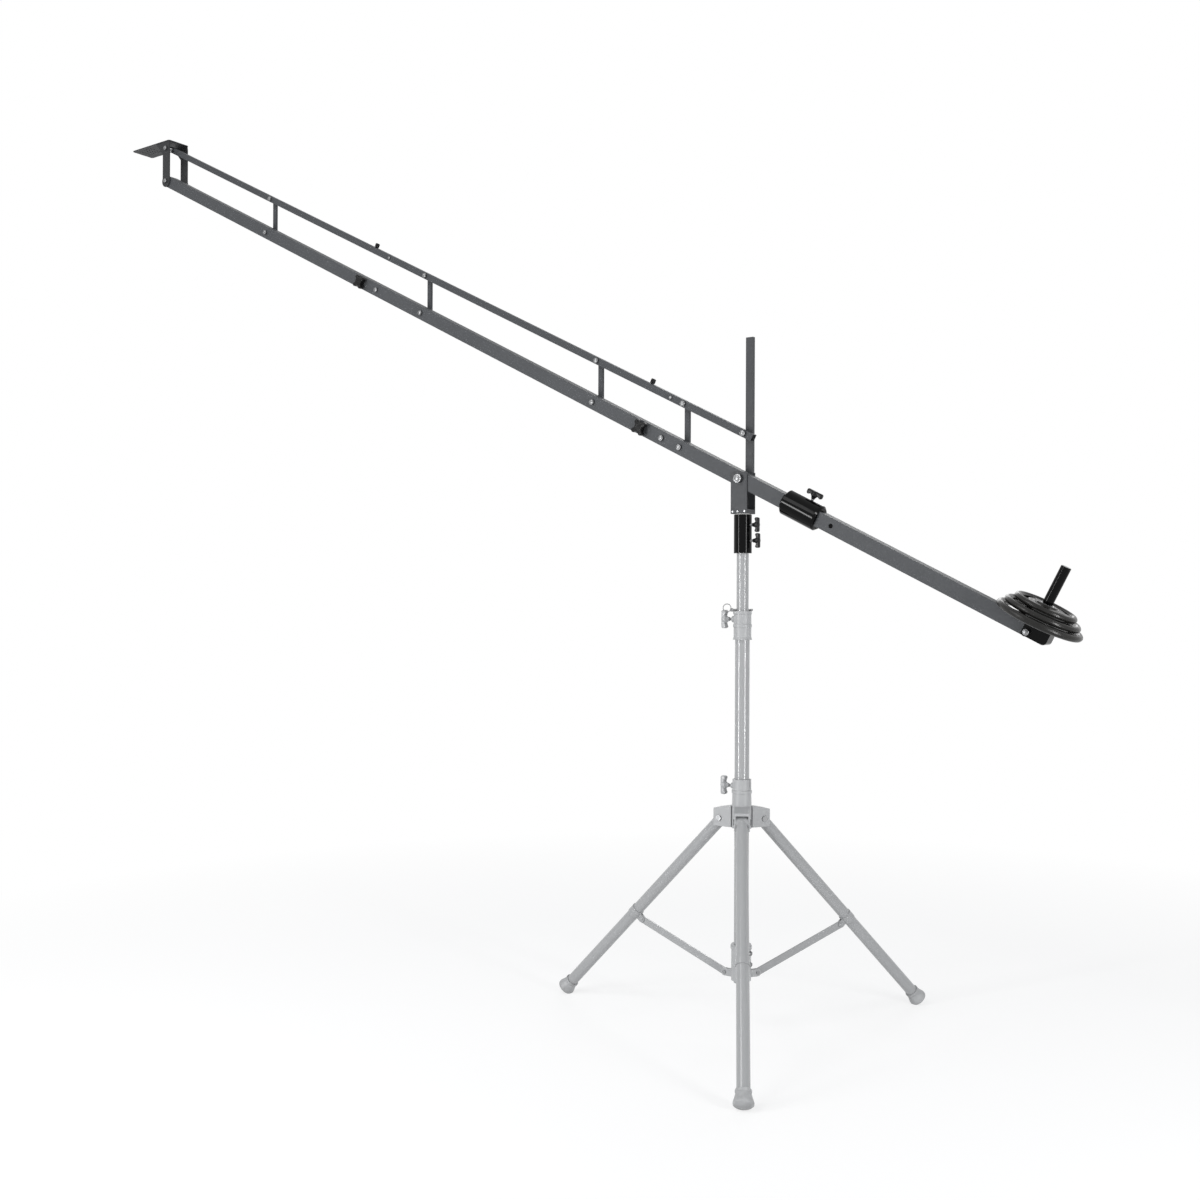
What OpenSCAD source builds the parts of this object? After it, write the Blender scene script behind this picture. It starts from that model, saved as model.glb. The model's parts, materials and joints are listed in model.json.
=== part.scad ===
// Camera jib crane: a counterweighted parallelogram boom on a tripod stand.
// Millimetres. +Z is up, the stand's axis is the Z axis and the floor is z = 0.
// -X is the camera end, +X the counterweight end, -Y the near side.

/* [Boom] */
// Height of the tilt pivot above the floor
pivot_h = 1500; // [1350:1:1750]
// Boom angle above the horizontal at rest, camera end up
boom_angle = 26.78; // [10:0.01:35]
// Side of the square boom tube
boom_side = 40; // [32:1:44]
// Wall of the boom tube
boom_wall = 2; // [1.5:0.1:3]
// Tilt pivot to camera pivot
front_reach = 2820; // [2700:1:3200]
// Tilt pivot to the end of the boom tube at the weights
tail_reach = 869; // [800:1:1000]
// Tilt pivot to the front boom joint
front_joint_at = 1612; // [1560:1:1700]
// Tilt pivot to the rear boom joint
rear_joint_at = 340; // [330:1:420]
// Tilt pivot to each of the four struts
strut_at = [2180, 1330, 556, 217]; // [200:1:2400]
// Distance of each splice knob in front of its boom joint
knob_ahead = 19; // [15:1:30]
// Distance of each splice bolt behind its boom joint
bolt_behind = 56; // [40:1:80]
// Length of the sleeve inside a boom joint
splice_len = 220; // [180:1:300]
// Diameter of the hole plug in the boom
plug_d = 12; // [8:1:16]
// Tilt pivot to the hole plug
plug_at = 305; // [290:1:340]

/* [Levelling rod] */
// Height of the rod's line above the boom's line, measured plumb
link_h = 125; // [110:1:140]
// Side of the square rod tube
rod_side = 20; // [16:1:22]
// Wall of the rod tube
rod_wall = 1.5; // [1:0.1:2.5]
// Length of the rod behind its rear pivot
rod_tail = 29; // [20:1:40]
// Length of the rod in front of its front pivot
rod_nose = 15; // [10:1:20]
// Distance from the rod's rear pivot to each rod joint
rod_seam_at = [1567, 320]; // [250:1:1650]
// Distance of each thumb screw in front of its rod joint
thumb_ahead = 28; // [15:1:40]
// Width of a strut bar
strut_w = 16; // [12:1:20]
// Thickness of a strut bar
strut_t = 8; // [5:1:10]

/* [Fork and swivel] */
// Width of a fork cheek
fork_w = 50; // [44:1:60]
// Thickness of a fork cheek
fork_t = 3; // [2:0.5:4]
// Height of the cheeks above the tilt pivot
fork_up = 18; // [14:1:24]
// Depth of the fork below the tilt pivot
fork_drop = 95; // [90:1:110]
// Thickness of the block that joins the cheeks
fork_base_t = 12; // [8:1:14]
// Height of the levelling post above the tilt pivot
post_up = 392; // [200:1:450]
// Width of the post
post_w = 22; // [18:1:28]
// Thickness of the post
post_t = 11; // [8:1:16]
// Distance of the post's centre line behind the pivots
post_shift = 5; // [0:0.5:6]
// Outer diameter of the stand socket
socket_d = 49; // [44:1:56]
// Length of the stand socket
socket_len = 105; // [90:1:120]
// Thickness of the socket's closed top
socket_cap = 12; // [8:1:16]
// Diameter of the swivel bolt
swivel_d = 12; // [10:1:16]

/* [Counterweights] */
// Diameter of the sliding trim weight
trim_d = 70; // [66:1:90]
// Length of the sliding trim weight
trim_len = 112; // [90:1:140]
// Tilt pivot to the trim weight's near end
trim_at = 147; // [147:1:200]
// Length of the weight holder's block outside the tube
holder_len = 66; // [60:1:90]
// Distance of the weight pin behind the end of the tube
pin_behind = 21; // [18:1:30]
// Diameter of the weight pin
pin_d = 25; // [22:0.1:27]
// Width of the clip groove round the weight pin, at the top of the plates
pin_groove_w = 2.4; // [1.6:0.1:4]
// Depth of the clip groove
pin_groove_deep = 0.7; // [0.3:0.1:1.5]
// Height of the weight pin's end above the boom's line
pin_up = 168; // [120:1:240]
// Diameters of the three plates, lowest first
plate_d = [216, 190, 156]; // [150:1:240]
// Thicknesses of the three plates, lowest first
plate_t = [17, 16, 16]; // [12:1:22]
// Bore of a plate
plate_bore = 28; // [27.6:0.1:32]

/* [Camera platform] */
// Length of the plate along the boom's heading
deck_len = 230; // [200:1:280]
// Width of the plate
deck_w = 91; // [80:1:120]
// Thickness of the plate
deck_t = 3; // [2:0.5:5]
// Height of the plate's top above the camera pivot
deck_h = 154; // [152:1:170]
// Overhang of the plate behind the camera pivot
deck_back = 20; // [10:1:20]
// Width of a bracket leg
ear_w = 40; // [34:1:46]
// Thickness of a bracket leg
ear_t = 4; // [3:0.5:5]
// Diameter of the camera screw holes
screw_hole_d = 6.6; // [5:0.1:9]

/* [Stand] */
// Height of the leg hinges above the floor
hinge_h = 573; // [540:1:620]
// Radius of the leg hinges
hinge_r = 60; // [56:1:70]
// Radius of the feet
foot_r = 610; // [500:1:700]
// Heading of the front leg, measured from -Y towards +X
leg_heading = 30.33; // [0:0.01:60]
// Diameter of a leg tube
leg_d = 33; // [28:1:35]
// Wall of the leg and column tubes
stand_wall = 1.8; // [1.2:0.1:2.5]
// Length of a rubber foot from its lip to the floor
foot_len = 56; // [45:0.5:70]
// Radius of a rubber foot's sole
foot_sole_r = 25; // [22:0.5:30]
// Bulge of the sole
foot_dome = 8; // [4:0.5:10]
// Distance of the brace clip down the leg
clip_at = 412; // [380:1:450]
// Height of the lower brace pivots
brace_pivot_h = 150; // [140:1:180]
// Radius of the lower brace pivots
brace_pivot_r = 50; // [50:1:56]
// Width of a brace
brace_w = 20; // [16:1:24]
// Thickness of a brace
brace_t = 4; // [3:0.5:6]
// Height of the ring that carries the lower brace pivots
ring_h = 98; // [80:1:120]
// Diameter of the column
column_d = 40; // [38:0.5:42]
// Height of the column's lower end
column_bottom = 128; // [120:1:134]
// Height of the upper collar's top
collar_top = 1140; // [1100:1:1160]
// Height of the upper collar
collar_h = 78; // [60:1:90]
// Diameter of the riser
riser_d = 33; // [30:0.5:34]
// Length of riser inside the column at rest
riser_in = 520; // [440:1:540]
// Height of the hub's top above the leg hinges
hub_up = 109; // [90:1:120]
// Height of the hub's waist above the leg hinges
hub_waist_up = 28; // [20:1:36]
// Height of the hub's neck above the leg hinges
hub_neck_up = 78; // [60:1:84]
// Diameter of the lock pin
lock_d = 6; // [5:0.5:8]
// Heading of the lock pin, measured from +X towards +Y
lock_heading = 45; // [30:1:60]

/* [Knobs and bolts] */
// Length of the bar of a crane knob
knob_l = 40; // [34:1:46]
// Length of the bar of a stand knob
stand_knob_l = 51; // [44:1:60]
// Diameter of a four-lobed splice knob
star_d = 50; // [40:1:56]
// Diameter of the strut and platform bolts
bolt_d = 8; // [6:0.5:10]
// Diameter of the tilt bolt
tilt_bolt_d = 12; // [8:0.5:14]
// Diameter of a knob's threaded stem
stem_d = 8; // [6:0.5:9]

/* [Clearances] */
// Radial clearance of a pin that turns in its bore
run_gap = 0.05; // [0.02:0.01:0.1]
// Gap between pieces that slide or pass each other
slide_gap = 0.3; // [0.2:0.05:0.5]
// Gap between pieces that are fastened inside one another
seat_gap = 0.1; // [0.05:0.05:0.2]

/* [Hidden] */
$fn = 64;

LEGS = 3;
half = boom_side / 2;
cut = 1;
big = 4 * boom_side;

// Fastener proportions
head_h = 0.85 * bolt_d;
head_r = bolt_d;
recess_r = 0.55 * bolt_d;
recess_h = 0.45 * head_h;
washer_t = 0.5;

// Rod: far face flush with the boom's far face
rod_far = half;
rod_near = half - rod_side;
rod_mid = half - rod_side / 2;
strut_near = half + slide_gap;
strut_far = strut_near + strut_t;

// Fork: cheeks outside the boom with a thin washer on each side
cheek_in = half + washer_t;
cheek_out = cheek_in + fork_t;
post_far = cheek_out + post_t;

// Swivel stack, from the fork down
fork_bottom = pivot_h - fork_drop;
thrust_t = 2;
socket_top = fork_bottom - thrust_t - slide_gap;
socket_bottom = socket_top - socket_len;
socket_bore_r = riser_d / 2 + slide_gap;
swivel_nut_h = 9;
riser_top = socket_top - socket_cap - swivel_nut_h - 5;

// Stand
leg_span = foot_r - hinge_r;
leg_tilt = atan2(leg_span, hinge_h);
leg_len = sqrt(leg_span * leg_span + hinge_h * hinge_h);
leg_r = leg_d / 2;
clip_r = 9;
saddle_t = 2;
brace_end_r = brace_w / 2;
clip_drop = leg_r + saddle_t + brace_end_r + 0.5;
clip_pt = [hinge_r + clip_at * sin(leg_tilt) - clip_drop * cos(leg_tilt),
    hinge_h - clip_at * cos(leg_tilt) - clip_drop * sin(leg_tilt)];
brace_dx = clip_pt[0] - brace_pivot_r;
brace_dz = clip_pt[1] - brace_pivot_h;
brace_len = sqrt(brace_dx * brace_dx + brace_dz * brace_dz);
brace_slope = atan2(brace_dz, brace_dx);
rivet_r = 3;
ear_gap = brace_t / 2 + slide_gap;
clip_t = 3;
column_r = column_d / 2;
riser_r = riser_d / 2;
hub_r = column_r + 5.5;
hub_top = hinge_h + hub_up;
hub_pin_r = 5;
hub_ear_in = leg_r + slide_gap;
hub_ear_t = 4;
hub_ear_out = hub_ear_in + hub_ear_t;
hub_reach = hinge_r + leg_r + slide_gap;
hub_low = hinge_h - 24;
hub_waist = hinge_h + hub_waist_up;
hub_neck = hinge_h + hub_neck_up;
hub_knob_z = hub_top - 20;
hub_band_z = hub_top - 38;
band_h = 8;
bracket_low = hinge_h - 22;
bracket_high = hinge_h + 36;
leg_end = leg_len - 30;
foot_lip_r = leg_r + 3.5;
foot_lip_h = 7;
foot_rim_h = 6;
foot_lip = leg_len - foot_len;
foot_sole = leg_len - 20.5;
foot_dome_r = (foot_sole_r * foot_sole_r + foot_dome * foot_dome) / (2 * foot_dome);
ring_r = column_r + 7;
ring_bottom = brace_pivot_h - 15;
ring_top = ring_bottom + ring_h;
ring_slot_h = 30;
bracket_bolt_r = 3;
bracket_bolt_z = [ring_bottom + 46, ring_top - 22];
collar_bottom = collar_top - collar_h;
collar_knob_z = collar_top - 22;
lock_z = collar_top + slide_gap + lock_d / 2;
socket_knob_z = [socket_bottom + 77, socket_bottom + 34];

// Fork screws
fork_screw_r = 1.8;
fork_screw_l = 13;
fork_screw_z = -fork_drop + fork_base_t / 2;
fork_screw_x = [-fork_w * 0.37, -fork_w * 0.06, fork_w * 0.37];

// Boom
boom_grey = "#585a5c";
near_wall = -half;
splice_side = boom_side - 2 * boom_wall - 2 * seat_gap;
knob_at = [front_joint_at + knob_ahead, rear_joint_at + knob_ahead];
splice_bolt_at = [front_joint_at - bolt_behind, rear_joint_at - bolt_behind];
star_lobe_r = star_d * 0.19;
star_grip_t = 14;
holder_bolt_x = tail_reach + 13;
holder_bolt_z = -half + 11;
holder_boss_r = 11;
holder_boss_t = 2.5;
holder_shank = 60;

// Levelling rod
rod_grey = "#505254";
rod_front_at = front_reach + rod_nose;
rod_thumb_at = [rod_seam_at[0] + thumb_ahead, rod_seam_at[1] + thumb_ahead];
rod_pin_at = [rod_seam_at[0] - bolt_behind, rod_seam_at[1] - bolt_behind];
rod_pin_r = 2.5;
rod_splice_l = 160;
thumb_stem_d = 5;
thumb_r = 6.5;
thumb_h = 10;

// Camera platform
ear_near = -half - slide_gap - ear_t;
deck_near = ear_near - 1.5;
deck_far = deck_near + deck_w;
far_ear = deck_far - 2 * ear_t;
deck_low = deck_h - deck_t;
deck_front = deck_len - deck_back;
nut_h = 6;
grid_pitch = 14;
grid_n = [6, 4];
grid_from = [-deck_front + 26, 16];
slot_n = 5;
slot_pitch = 16;
slot_size = [6, 22];

// Weights
plate_gap = slide_gap;
plate_base = [half + plate_gap, half + 2 * plate_gap + plate_t[0],
    half + 3 * plate_gap + plate_t[0] + plate_t[1]];
pin_at = tail_reach + pin_behind;
pin_foot = half - 14;
plates_top = plate_base[2] + plate_t[2];
pin_groove_z = plates_top - 1;
trim_knob_x = trim_len * 0.62;
trim_bevel = 5;

// Local frames

// Boom frame: origin at the tilt pivot, +x towards the weights, +z square to the boom
module boom_frame() {
    translate([0, 0, pivot_h]) rotate([0, boom_angle, 0]) children();
}

// Rod frame: the same, raised to the rod's line
module rod_frame() {
    translate([0, 0, pivot_h + link_h]) rotate([0, boom_angle, 0]) children();
}

// Place on the boom's line at a distance towards the weights, left upright
module hang_at(x) {
    translate([x * cos(boom_angle), 0, pivot_h - x * sin(boom_angle)]) children();
}

// Leg frame: the leg's own heading is +x
module leg_frame(i) {
    rotate([0, 0, leg_heading - 90 + i * 360 / LEGS]) children();
}

// Basic shapes

// Cylinder along +Y from y0 to y1
module rod_y(r, y0, y1) {
    translate([0, y0, 0]) rotate([-90, 0, 0]) cylinder(r = r, h = y1 - y0);
}

// Square tube along x from x0 to x1, near face at y = near
module box_tube(x0, x1, side, wall, near) {
    difference() {
        translate([x0, near, -side / 2]) cube([x1 - x0, side, side]);
        translate([x0 - cut, near + wall, -side / 2 + wall])
            cube([x1 - x0 + 2 * cut, side - 2 * wall, side - 2 * wall]);
    }
}

// Round tube along z
module pipe(r, wall, z0, z1) {
    translate([0, 0, z0]) difference() {
        cylinder(r = r, h = z1 - z0);
        translate([0, 0, -cut]) cylinder(r = r - wall, h = z1 - z0 + 2 * cut);
    }
}

// Rectangle with round corners
module round_rect(x0, y0, x1, y1, r) {
    translate([x0 + r, y0]) square([x1 - x0 - 2 * r, y1 - y0]);
    translate([x0, y0 + r]) square([x1 - x0, y1 - y0 - 2 * r]);
    for (x = [x0 + r, x1 - r]) for (y = [y0 + r, y1 - r]) translate([x, y]) circle(r);
}

// Bolt along +Y: socket head outside y0, nut outside y1
module cross_bolt(d, y0, y1, nut = true) {
    k = d / bolt_d;
    difference() {
        union() {
            rod_y(d / 2, y0 - cut, y1 + (nut ? cut : 0));
            rod_y(head_r * k, y0 - head_h * k + 1, y0);
            translate([0, y0 - head_h * k + 1, 0]) rotate([90, 0, 0])
                cylinder(r1 = head_r * k, r2 = head_r * k - 1, h = 1);
        }
        translate([0, y0 - head_h * k - cut, 0]) rotate([-90, 0, 0])
            cylinder(r = recess_r * k, h = recess_h + cut, $fn = 6);
    }
    if (nut) translate([0, y1, 0]) rotate([-90, 0, 0]) cylinder(r = head_r * k * 0.98, h = nut_h, $fn = 6);
}

// Thumb knob with a bar across its end: stem tip at the origin, bar at the top of +z
module bar_knob(len, stem, neck, thick) {
    bar_h = 0.26 * len;
    cylinder(d = stem_d, h = stem + cut);
    translate([0, 0, stem]) cylinder(r1 = stem_d * 0.62, r2 = 0.21 * len, h = neck);
    translate([0, thick / 2, stem + neck]) rotate([90, 0, 0]) linear_extrude(thick) difference() {
        union() {
            translate([-len / 2 + 3, 0]) square([len - 6, bar_h]);
            for (s = [-1, 1]) {
                translate([s * (len / 2 - 3), bar_h - 3]) circle(3);
                translate([s * (len / 2 - 4), 0]) circle(4);
                translate([s * (len / 2 - 4) - 4, 0]) square([8, bar_h - 3]);
            }
        }
        for (s = [-1, 1]) translate([s * len * 0.30, -0.12 * len]) circle(0.15 * len);
    }
    translate([0, 0, stem + neck]) cylinder(r = 0.21 * len, h = bar_h - 1);
}

// Four-lobed knob whose stem runs along +Y and whose face is on the -Y side
module star_knob(y_seat, stem_to) {
    collar_l = 6;
    edge = 1.5;
    rod_y(stem_d / 2, y_seat - cut, stem_to);
    rod_y(star_d * 0.2, y_seat - collar_l, y_seat);
    translate([0, y_seat - collar_l, 0]) rotate([90, 0, 0]) {
        linear_extrude(star_grip_t) star_outline(star_lobe_r);
        translate([0, 0, star_grip_t]) linear_extrude(edge) star_outline(star_lobe_r - edge);
    }
}

// Outline of the four-lobed grip
module star_outline(lobe_r) {
    reach = star_d / 2 - star_lobe_r;
    circle(reach);
    for (a = [45 : 90 : 315]) rotate(a) {
        translate([reach, 0]) circle(lobe_r);
        translate([0, -lobe_r * 0.8]) square([reach, lobe_r * 1.6]);
    }
}

// Stand

module leg_hub() {
    color("#b4b5b6") difference() {
        union() {
            translate([0, 0, hub_low]) cylinder(r = hub_r + 1.5, h = hub_waist - hub_low);
            translate([0, 0, hub_waist]) cylinder(r1 = hub_r + 1.5, r2 = hub_r, h = hub_neck - hub_waist);
            translate([0, 0, hub_neck]) cylinder(r = hub_r, h = hub_top - hub_neck);
            translate([0, 0, hub_band_z]) cylinder(r = hub_r + 2, h = band_h);
            hub_clamp_boss();
            for (i = [0 : LEGS - 1]) leg_frame(i) hub_bracket();
        }
        translate([0, 0, hub_low - cut]) cylinder(r = column_r + slide_gap, h = hub_top - hub_low + 2 * cut);
        translate([0, 0, hub_knob_z]) rotate([0, -90, 0]) cylinder(d = stem_d + 2 * seat_gap, h = big);
        translate([hub_r - 6, -1.5, hub_top - 26]) cube([20, 3, 26 + cut]);
    }
}

// Threaded boss that the clamp knob screws into
module hub_clamp_boss() {
    translate([-hub_r - 6, 0, hub_knob_z]) rotate([0, 90, 0]) cylinder(r = 8, h = hub_r - column_r + 6);
}

// Channel that holds the head of one leg
module hub_bracket() {
    difference() {
        intersection() {
            translate([column_r + 2, -hub_ear_out, bracket_low])
                cube([hub_reach - column_r - 2, 2 * hub_ear_out, bracket_high - bracket_low]);
            translate([0, big / 2, 0]) rotate([90, 0, 0]) linear_extrude(big)
                polygon([[0, bracket_low], [hinge_r + 18, bracket_low], [hinge_r + 18, bracket_high - 10],
                    [hinge_r - 32, bracket_high], [0, bracket_high]]);
        }
        translate([hinge_r, hub_ear_in, hinge_h]) rotate([90, 0, 0])
            cylinder(r = leg_r + 2 * slide_gap, h = 2 * hub_ear_in);
        translate([hub_r + 3, -hub_ear_in, bracket_low - cut])
            cube([big, 2 * hub_ear_in, hinge_h - bracket_low + cut]);
        translate([hinge_r, -hub_ear_in, bracket_low])
            cube([big, 2 * hub_ear_in, hinge_h - bracket_low + leg_r + 2]);
        translate([hinge_r, 0, hinge_h]) rod_y(hub_pin_r + seat_gap, -big, big);
    }
}

module hub_pins() {
    color("#c9cacc") for (i = [0 : LEGS - 1]) leg_frame(i) translate([hinge_r, 0, hinge_h]) {
        rod_y(hub_pin_r, -hub_ear_out, hub_ear_out);
        rod_y(hub_pin_r + 3, -hub_ear_out - 3, -hub_ear_out);
        rod_y(hub_pin_r + 3, hub_ear_out, hub_ear_out + 3);
    }
}

module hub_knob() {
    color("#a8a9aa") translate([-column_r - slide_gap, 0, hub_knob_z]) rotate([0, -90, 0])
        bar_knob(stand_knob_l, 20, 10, 16);
}

// Leg line: +z runs from the hinge down the leg
module leg_line(i) {
    leg_frame(i) translate([hinge_r, 0, hinge_h]) rotate([0, 180 - leg_tilt, 0]) children();
}

// Leg tube with its hinge eye and the clip that carries the brace
module leg(i) {
    color("#bfc0c2") leg_line(i) {
        difference() {
            union() {
                rod_y(leg_r, -leg_r, leg_r);
                cylinder(r = leg_r, h = 40);
                pipe(leg_r, stand_wall, 38, leg_end);
            }
            rod_y(hub_pin_r + run_gap, -big, big);
        }
        leg_clip();
    }
}

// Saddle on the leg with two ears and the rivet between them
module leg_clip() {
    translate([0, 0, clip_at - 12]) pipe(leg_r + saddle_t, saddle_t + 0.4, 0, 24);
    for (s = [-1, 1]) translate([clip_drop, s * (ear_gap + clip_t / 2), clip_at])
        rotate([90, 0, 0]) translate([0, 0, -clip_t / 2]) {
            cylinder(r = clip_r, h = clip_t);
            translate([leg_r - clip_drop, -clip_r, 0]) cube([clip_drop - leg_r, 2 * clip_r, clip_t]);
        }
    translate([clip_drop, 0, clip_at]) {
        rod_y(rivet_r, -ear_gap - cut, ear_gap + cut);
        rod_y(rivet_r + 2, -ear_gap - clip_t - 2, -ear_gap - clip_t);
        rod_y(rivet_r + 2, ear_gap + clip_t, ear_gap + clip_t + 2);
    }
}

// Rubber foot turned about the leg, with a bulging sole that is cut flat on the floor
module foot(i) {
    cone = foot_lip + foot_lip_h;
    rim = foot_sole - foot_rim_h;
    color("#8f9091") difference() {
        leg_line(i) difference() {
            intersection() {
                union() {
                    translate([0, 0, foot_lip]) cylinder(r = foot_lip_r, h = foot_lip_h);
                    translate([0, 0, cone]) cylinder(r1 = foot_lip_r - 1, r2 = foot_sole_r, h = rim - cone);
                    translate([0, 0, rim]) cylinder(r = foot_sole_r, h = foot_rim_h + foot_dome);
                }
                translate([0, 0, foot_sole + foot_dome - foot_dome_r]) sphere(foot_dome_r);
            }
            translate([0, 0, foot_lip - cut]) cylinder(r = leg_r + seat_gap, h = leg_end - foot_lip + cut);
        }
        translate([0, 0, -big]) cylinder(r = foot_r + big, h = big);
    }
}

// Flat brace between the leg's clip and the column's bracket
module brace(i) {
    color("#bcbdbf") leg_frame(i) translate([clip_pt[0], 0, clip_pt[1]]) rotate([0, 180 - brace_slope, 0])
        difference() {
            union() {
                translate([0, -brace_t / 2, -brace_w / 2]) cube([brace_len, brace_t, brace_w]);
                rod_y(brace_end_r, -brace_t / 2, brace_t / 2);
                translate([brace_len, 0, 0]) rod_y(brace_end_r, -brace_t / 2, brace_t / 2);
            }
            rod_y(rivet_r + run_gap, -big, big);
            translate([brace_len, 0, 0]) rod_y(rivet_r + run_gap, -big, big);
        }
}

module column_tube() {
    color("#bfc0c2") pipe(column_r, stand_wall, column_bottom, collar_top - band_h);
}

// Ring on the foot of the column with an ear pair for each brace
module column_bracket() {
    color("#b4b5b6") difference() {
        union() {
            translate([0, 0, ring_bottom]) cylinder(r = ring_r, h = ring_h);
            translate([0, 0, ring_top - 12]) cylinder(r = ring_r + 2, h = band_h);
            for (i = [0 : LEGS - 1]) leg_frame(i) for (s = [-1, 1])
                translate([0, s * (ear_gap + clip_t / 2), brace_pivot_h]) rotate([90, 0, 0])
                    translate([0, 0, -clip_t / 2]) {
                        translate([brace_pivot_r, 0, 0]) cylinder(r = 10, h = clip_t);
                        translate([column_r + 2, -10, 0]) cube([brace_pivot_r - column_r - 2, 20, clip_t]);
                    }
        }
        translate([0, 0, ring_bottom - cut]) cylinder(r = column_r + seat_gap, h = ring_h + 2 * cut);
        for (i = [0 : LEGS - 1]) leg_frame(i) translate([0, -ear_gap, ring_bottom - cut])
            cube([ring_r + 4, 2 * ear_gap, ring_slot_h]);
        for (z = bracket_bolt_z) translate([0, 0, z]) rotate([0, 90, 0])
            cylinder(r = bracket_bolt_r + seat_gap, h = big);
    }
}

module bracket_bolts() {
    color("#c9cacc") {
        for (z = bracket_bolt_z) translate([column_r + seat_gap, 0, z]) rotate([0, 90, 0]) {
            cylinder(r = bracket_bolt_r, h = ring_r - column_r + 1);
            translate([0, 0, ring_r - column_r]) cylinder(r = 2 * bracket_bolt_r, h = 5, $fn = 6);
        }
        for (i = [0 : LEGS - 1]) leg_frame(i) for (s = [-1, 1])
            translate([brace_pivot_r, s * (ear_gap + clip_t + 1), brace_pivot_h]) rod_y(rivet_r + 2, -1, 1);
    }
}

module column_collar() {
    color("#b4b5b6") difference() {
        union() {
            translate([0, 0, collar_bottom]) cylinder(r1 = column_r + 6.5, r2 = column_r + 4, h = band_h);
            translate([0, 0, collar_bottom + band_h])
                cylinder(r = column_r + 4, h = collar_h - 2 * band_h);
            translate([0, 0, collar_bottom + 34]) cylinder(r = column_r + 5.5, h = band_h);
            translate([0, 0, collar_top - band_h]) cylinder(r = column_r + 5.5, h = band_h);
            translate([-column_r - 10, 0, collar_knob_z]) rotate([0, 90, 0]) cylinder(r = 9, h = 12);
        }
        translate([0, 0, collar_bottom - cut])
            cylinder(r = column_r + seat_gap, h = collar_h - band_h + cut);
        translate([0, 0, collar_top - band_h - cut])
            cylinder(r = riser_r + slide_gap, h = band_h + 2 * cut);
        translate([0, 0, collar_knob_z]) rotate([0, -90, 0]) cylinder(d = stem_d + 2 * seat_gap, h = big);
    }
}

module collar_knob() {
    color("#a8a9aa") translate([-column_r - 3, 0, collar_knob_z]) rotate([0, -90, 0])
        bar_knob(stand_knob_l, 17, 10, 16);
}

module riser_tube() {
    color("#c4c5c7") difference() {
        pipe(riser_r, stand_wall, collar_top - riser_in, riser_top);
        rotate([0, 0, lock_heading]) translate([0, 0, lock_z]) rotate([0, 90, 0])
            cylinder(d = lock_d + 2 * run_gap, h = big, center = true);
    }
}

// Safety pin through the riser, with its pull ring
module lock_pin() {
    ring_major = 11;
    head_out = column_r + 14;
    color("#d2d3d5") rotate([0, 0, lock_heading]) translate([0, 0, lock_z]) {
        translate([-head_out, 0, 0]) rotate([0, 90, 0]) cylinder(d = lock_d, h = head_out + riser_r + 12);
        translate([-head_out, 0, 0]) rotate([0, 90, 0]) cylinder(d = lock_d + 3, h = 7);
        translate([1.5 - head_out - ring_major, 0, 5]) rotate([90, 0, 0])
            rotate_extrude() translate([ring_major, 0]) circle(1.2, $fn = 16);
    }
}

// Swivel head

module stand_socket() {
    color("#0d0d0e") difference() {
        translate([0, 0, socket_bottom]) cylinder(d = socket_d, h = socket_len);
        translate([0, 0, socket_bottom - cut])
            cylinder(r = socket_bore_r, h = socket_len - socket_cap + cut);
        translate([0, 0, socket_bottom]) cylinder(d = swivel_d + 2 * run_gap, h = socket_len + cut);
        for (z = socket_knob_z) translate([0, 0, z]) rotate([0, 90, 0])
            cylinder(d = stem_d + 2 * seat_gap, h = big);
    }
}

module socket_knob(i) {
    color("#131314") translate([socket_bore_r, 0, socket_knob_z[i]]) rotate([0, 90, 0])
        bar_knob(knob_l, 14 + 2 * i, 9, 11);
}

module swivel_washer() {
    color("#d8d8d8") translate([0, 0, fork_bottom - thrust_t]) difference() {
        cylinder(r = socket_d / 2 - 3, h = thrust_t);
        translate([0, 0, -cut]) cylinder(d = swivel_d + 2 * seat_gap, h = thrust_t + 2 * cut);
    }
}

module swivel_bolt() {
    nut_z = socket_top - socket_cap - slide_gap - swivel_nut_h;
    color("#b9bbbd") {
        translate([0, 0, nut_z]) cylinder(d = swivel_d, h = fork_bottom + fork_base_t - nut_z + 1);
        translate([0, 0, fork_bottom + fork_base_t]) cylinder(r = swivel_d * 0.9, h = 7, $fn = 6);
        translate([0, 0, nut_z]) cylinder(r = swivel_d * 0.9, h = swivel_nut_h, $fn = 6);
    }
}

// Holes of the screws that hold the fork's near cheek to its base
module fork_screw_holes() {
    for (x = fork_screw_x) translate([x, 0, fork_screw_z])
        rod_y(fork_screw_r + seat_gap, -cheek_out - cut, -cheek_out + fork_screw_l);
}

// The fork's two cheeks, on either side of its base
module fork() {
    color("#505255") translate([0, 0, pivot_h]) difference() {
        for (y = [-cheek_out, cheek_in]) translate([-fork_w / 2, y, -fork_drop])
            cube([fork_w, fork_t, fork_drop + fork_up]);
        rod_y(tilt_bolt_d / 2 + seat_gap, -big, big);
        fork_screw_holes();
    }
}

// The fork's base, a block on the swivel bolt
module fork_base() {
    color("#505255") translate([0, 0, pivot_h]) difference() {
        translate([-fork_w / 2, -cheek_in, -fork_drop]) cube([fork_w, 2 * cheek_in, fork_base_t]);
        translate([0, 0, -fork_drop - cut]) cylinder(d = swivel_d + 2 * seat_gap, h = fork_base_t + 2 * cut);
        fork_screw_holes();
    }
}

module fork_screws() {
    color("#c8cacc") translate([0, 0, pivot_h]) for (x = fork_screw_x) translate([x, 0, fork_screw_z]) {
        rod_y(fork_screw_r, -cheek_out - cut, -cheek_out + fork_screw_l - cut);
        rod_y(3, -cheek_out - 1.5, -cheek_out);
    }
}

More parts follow.
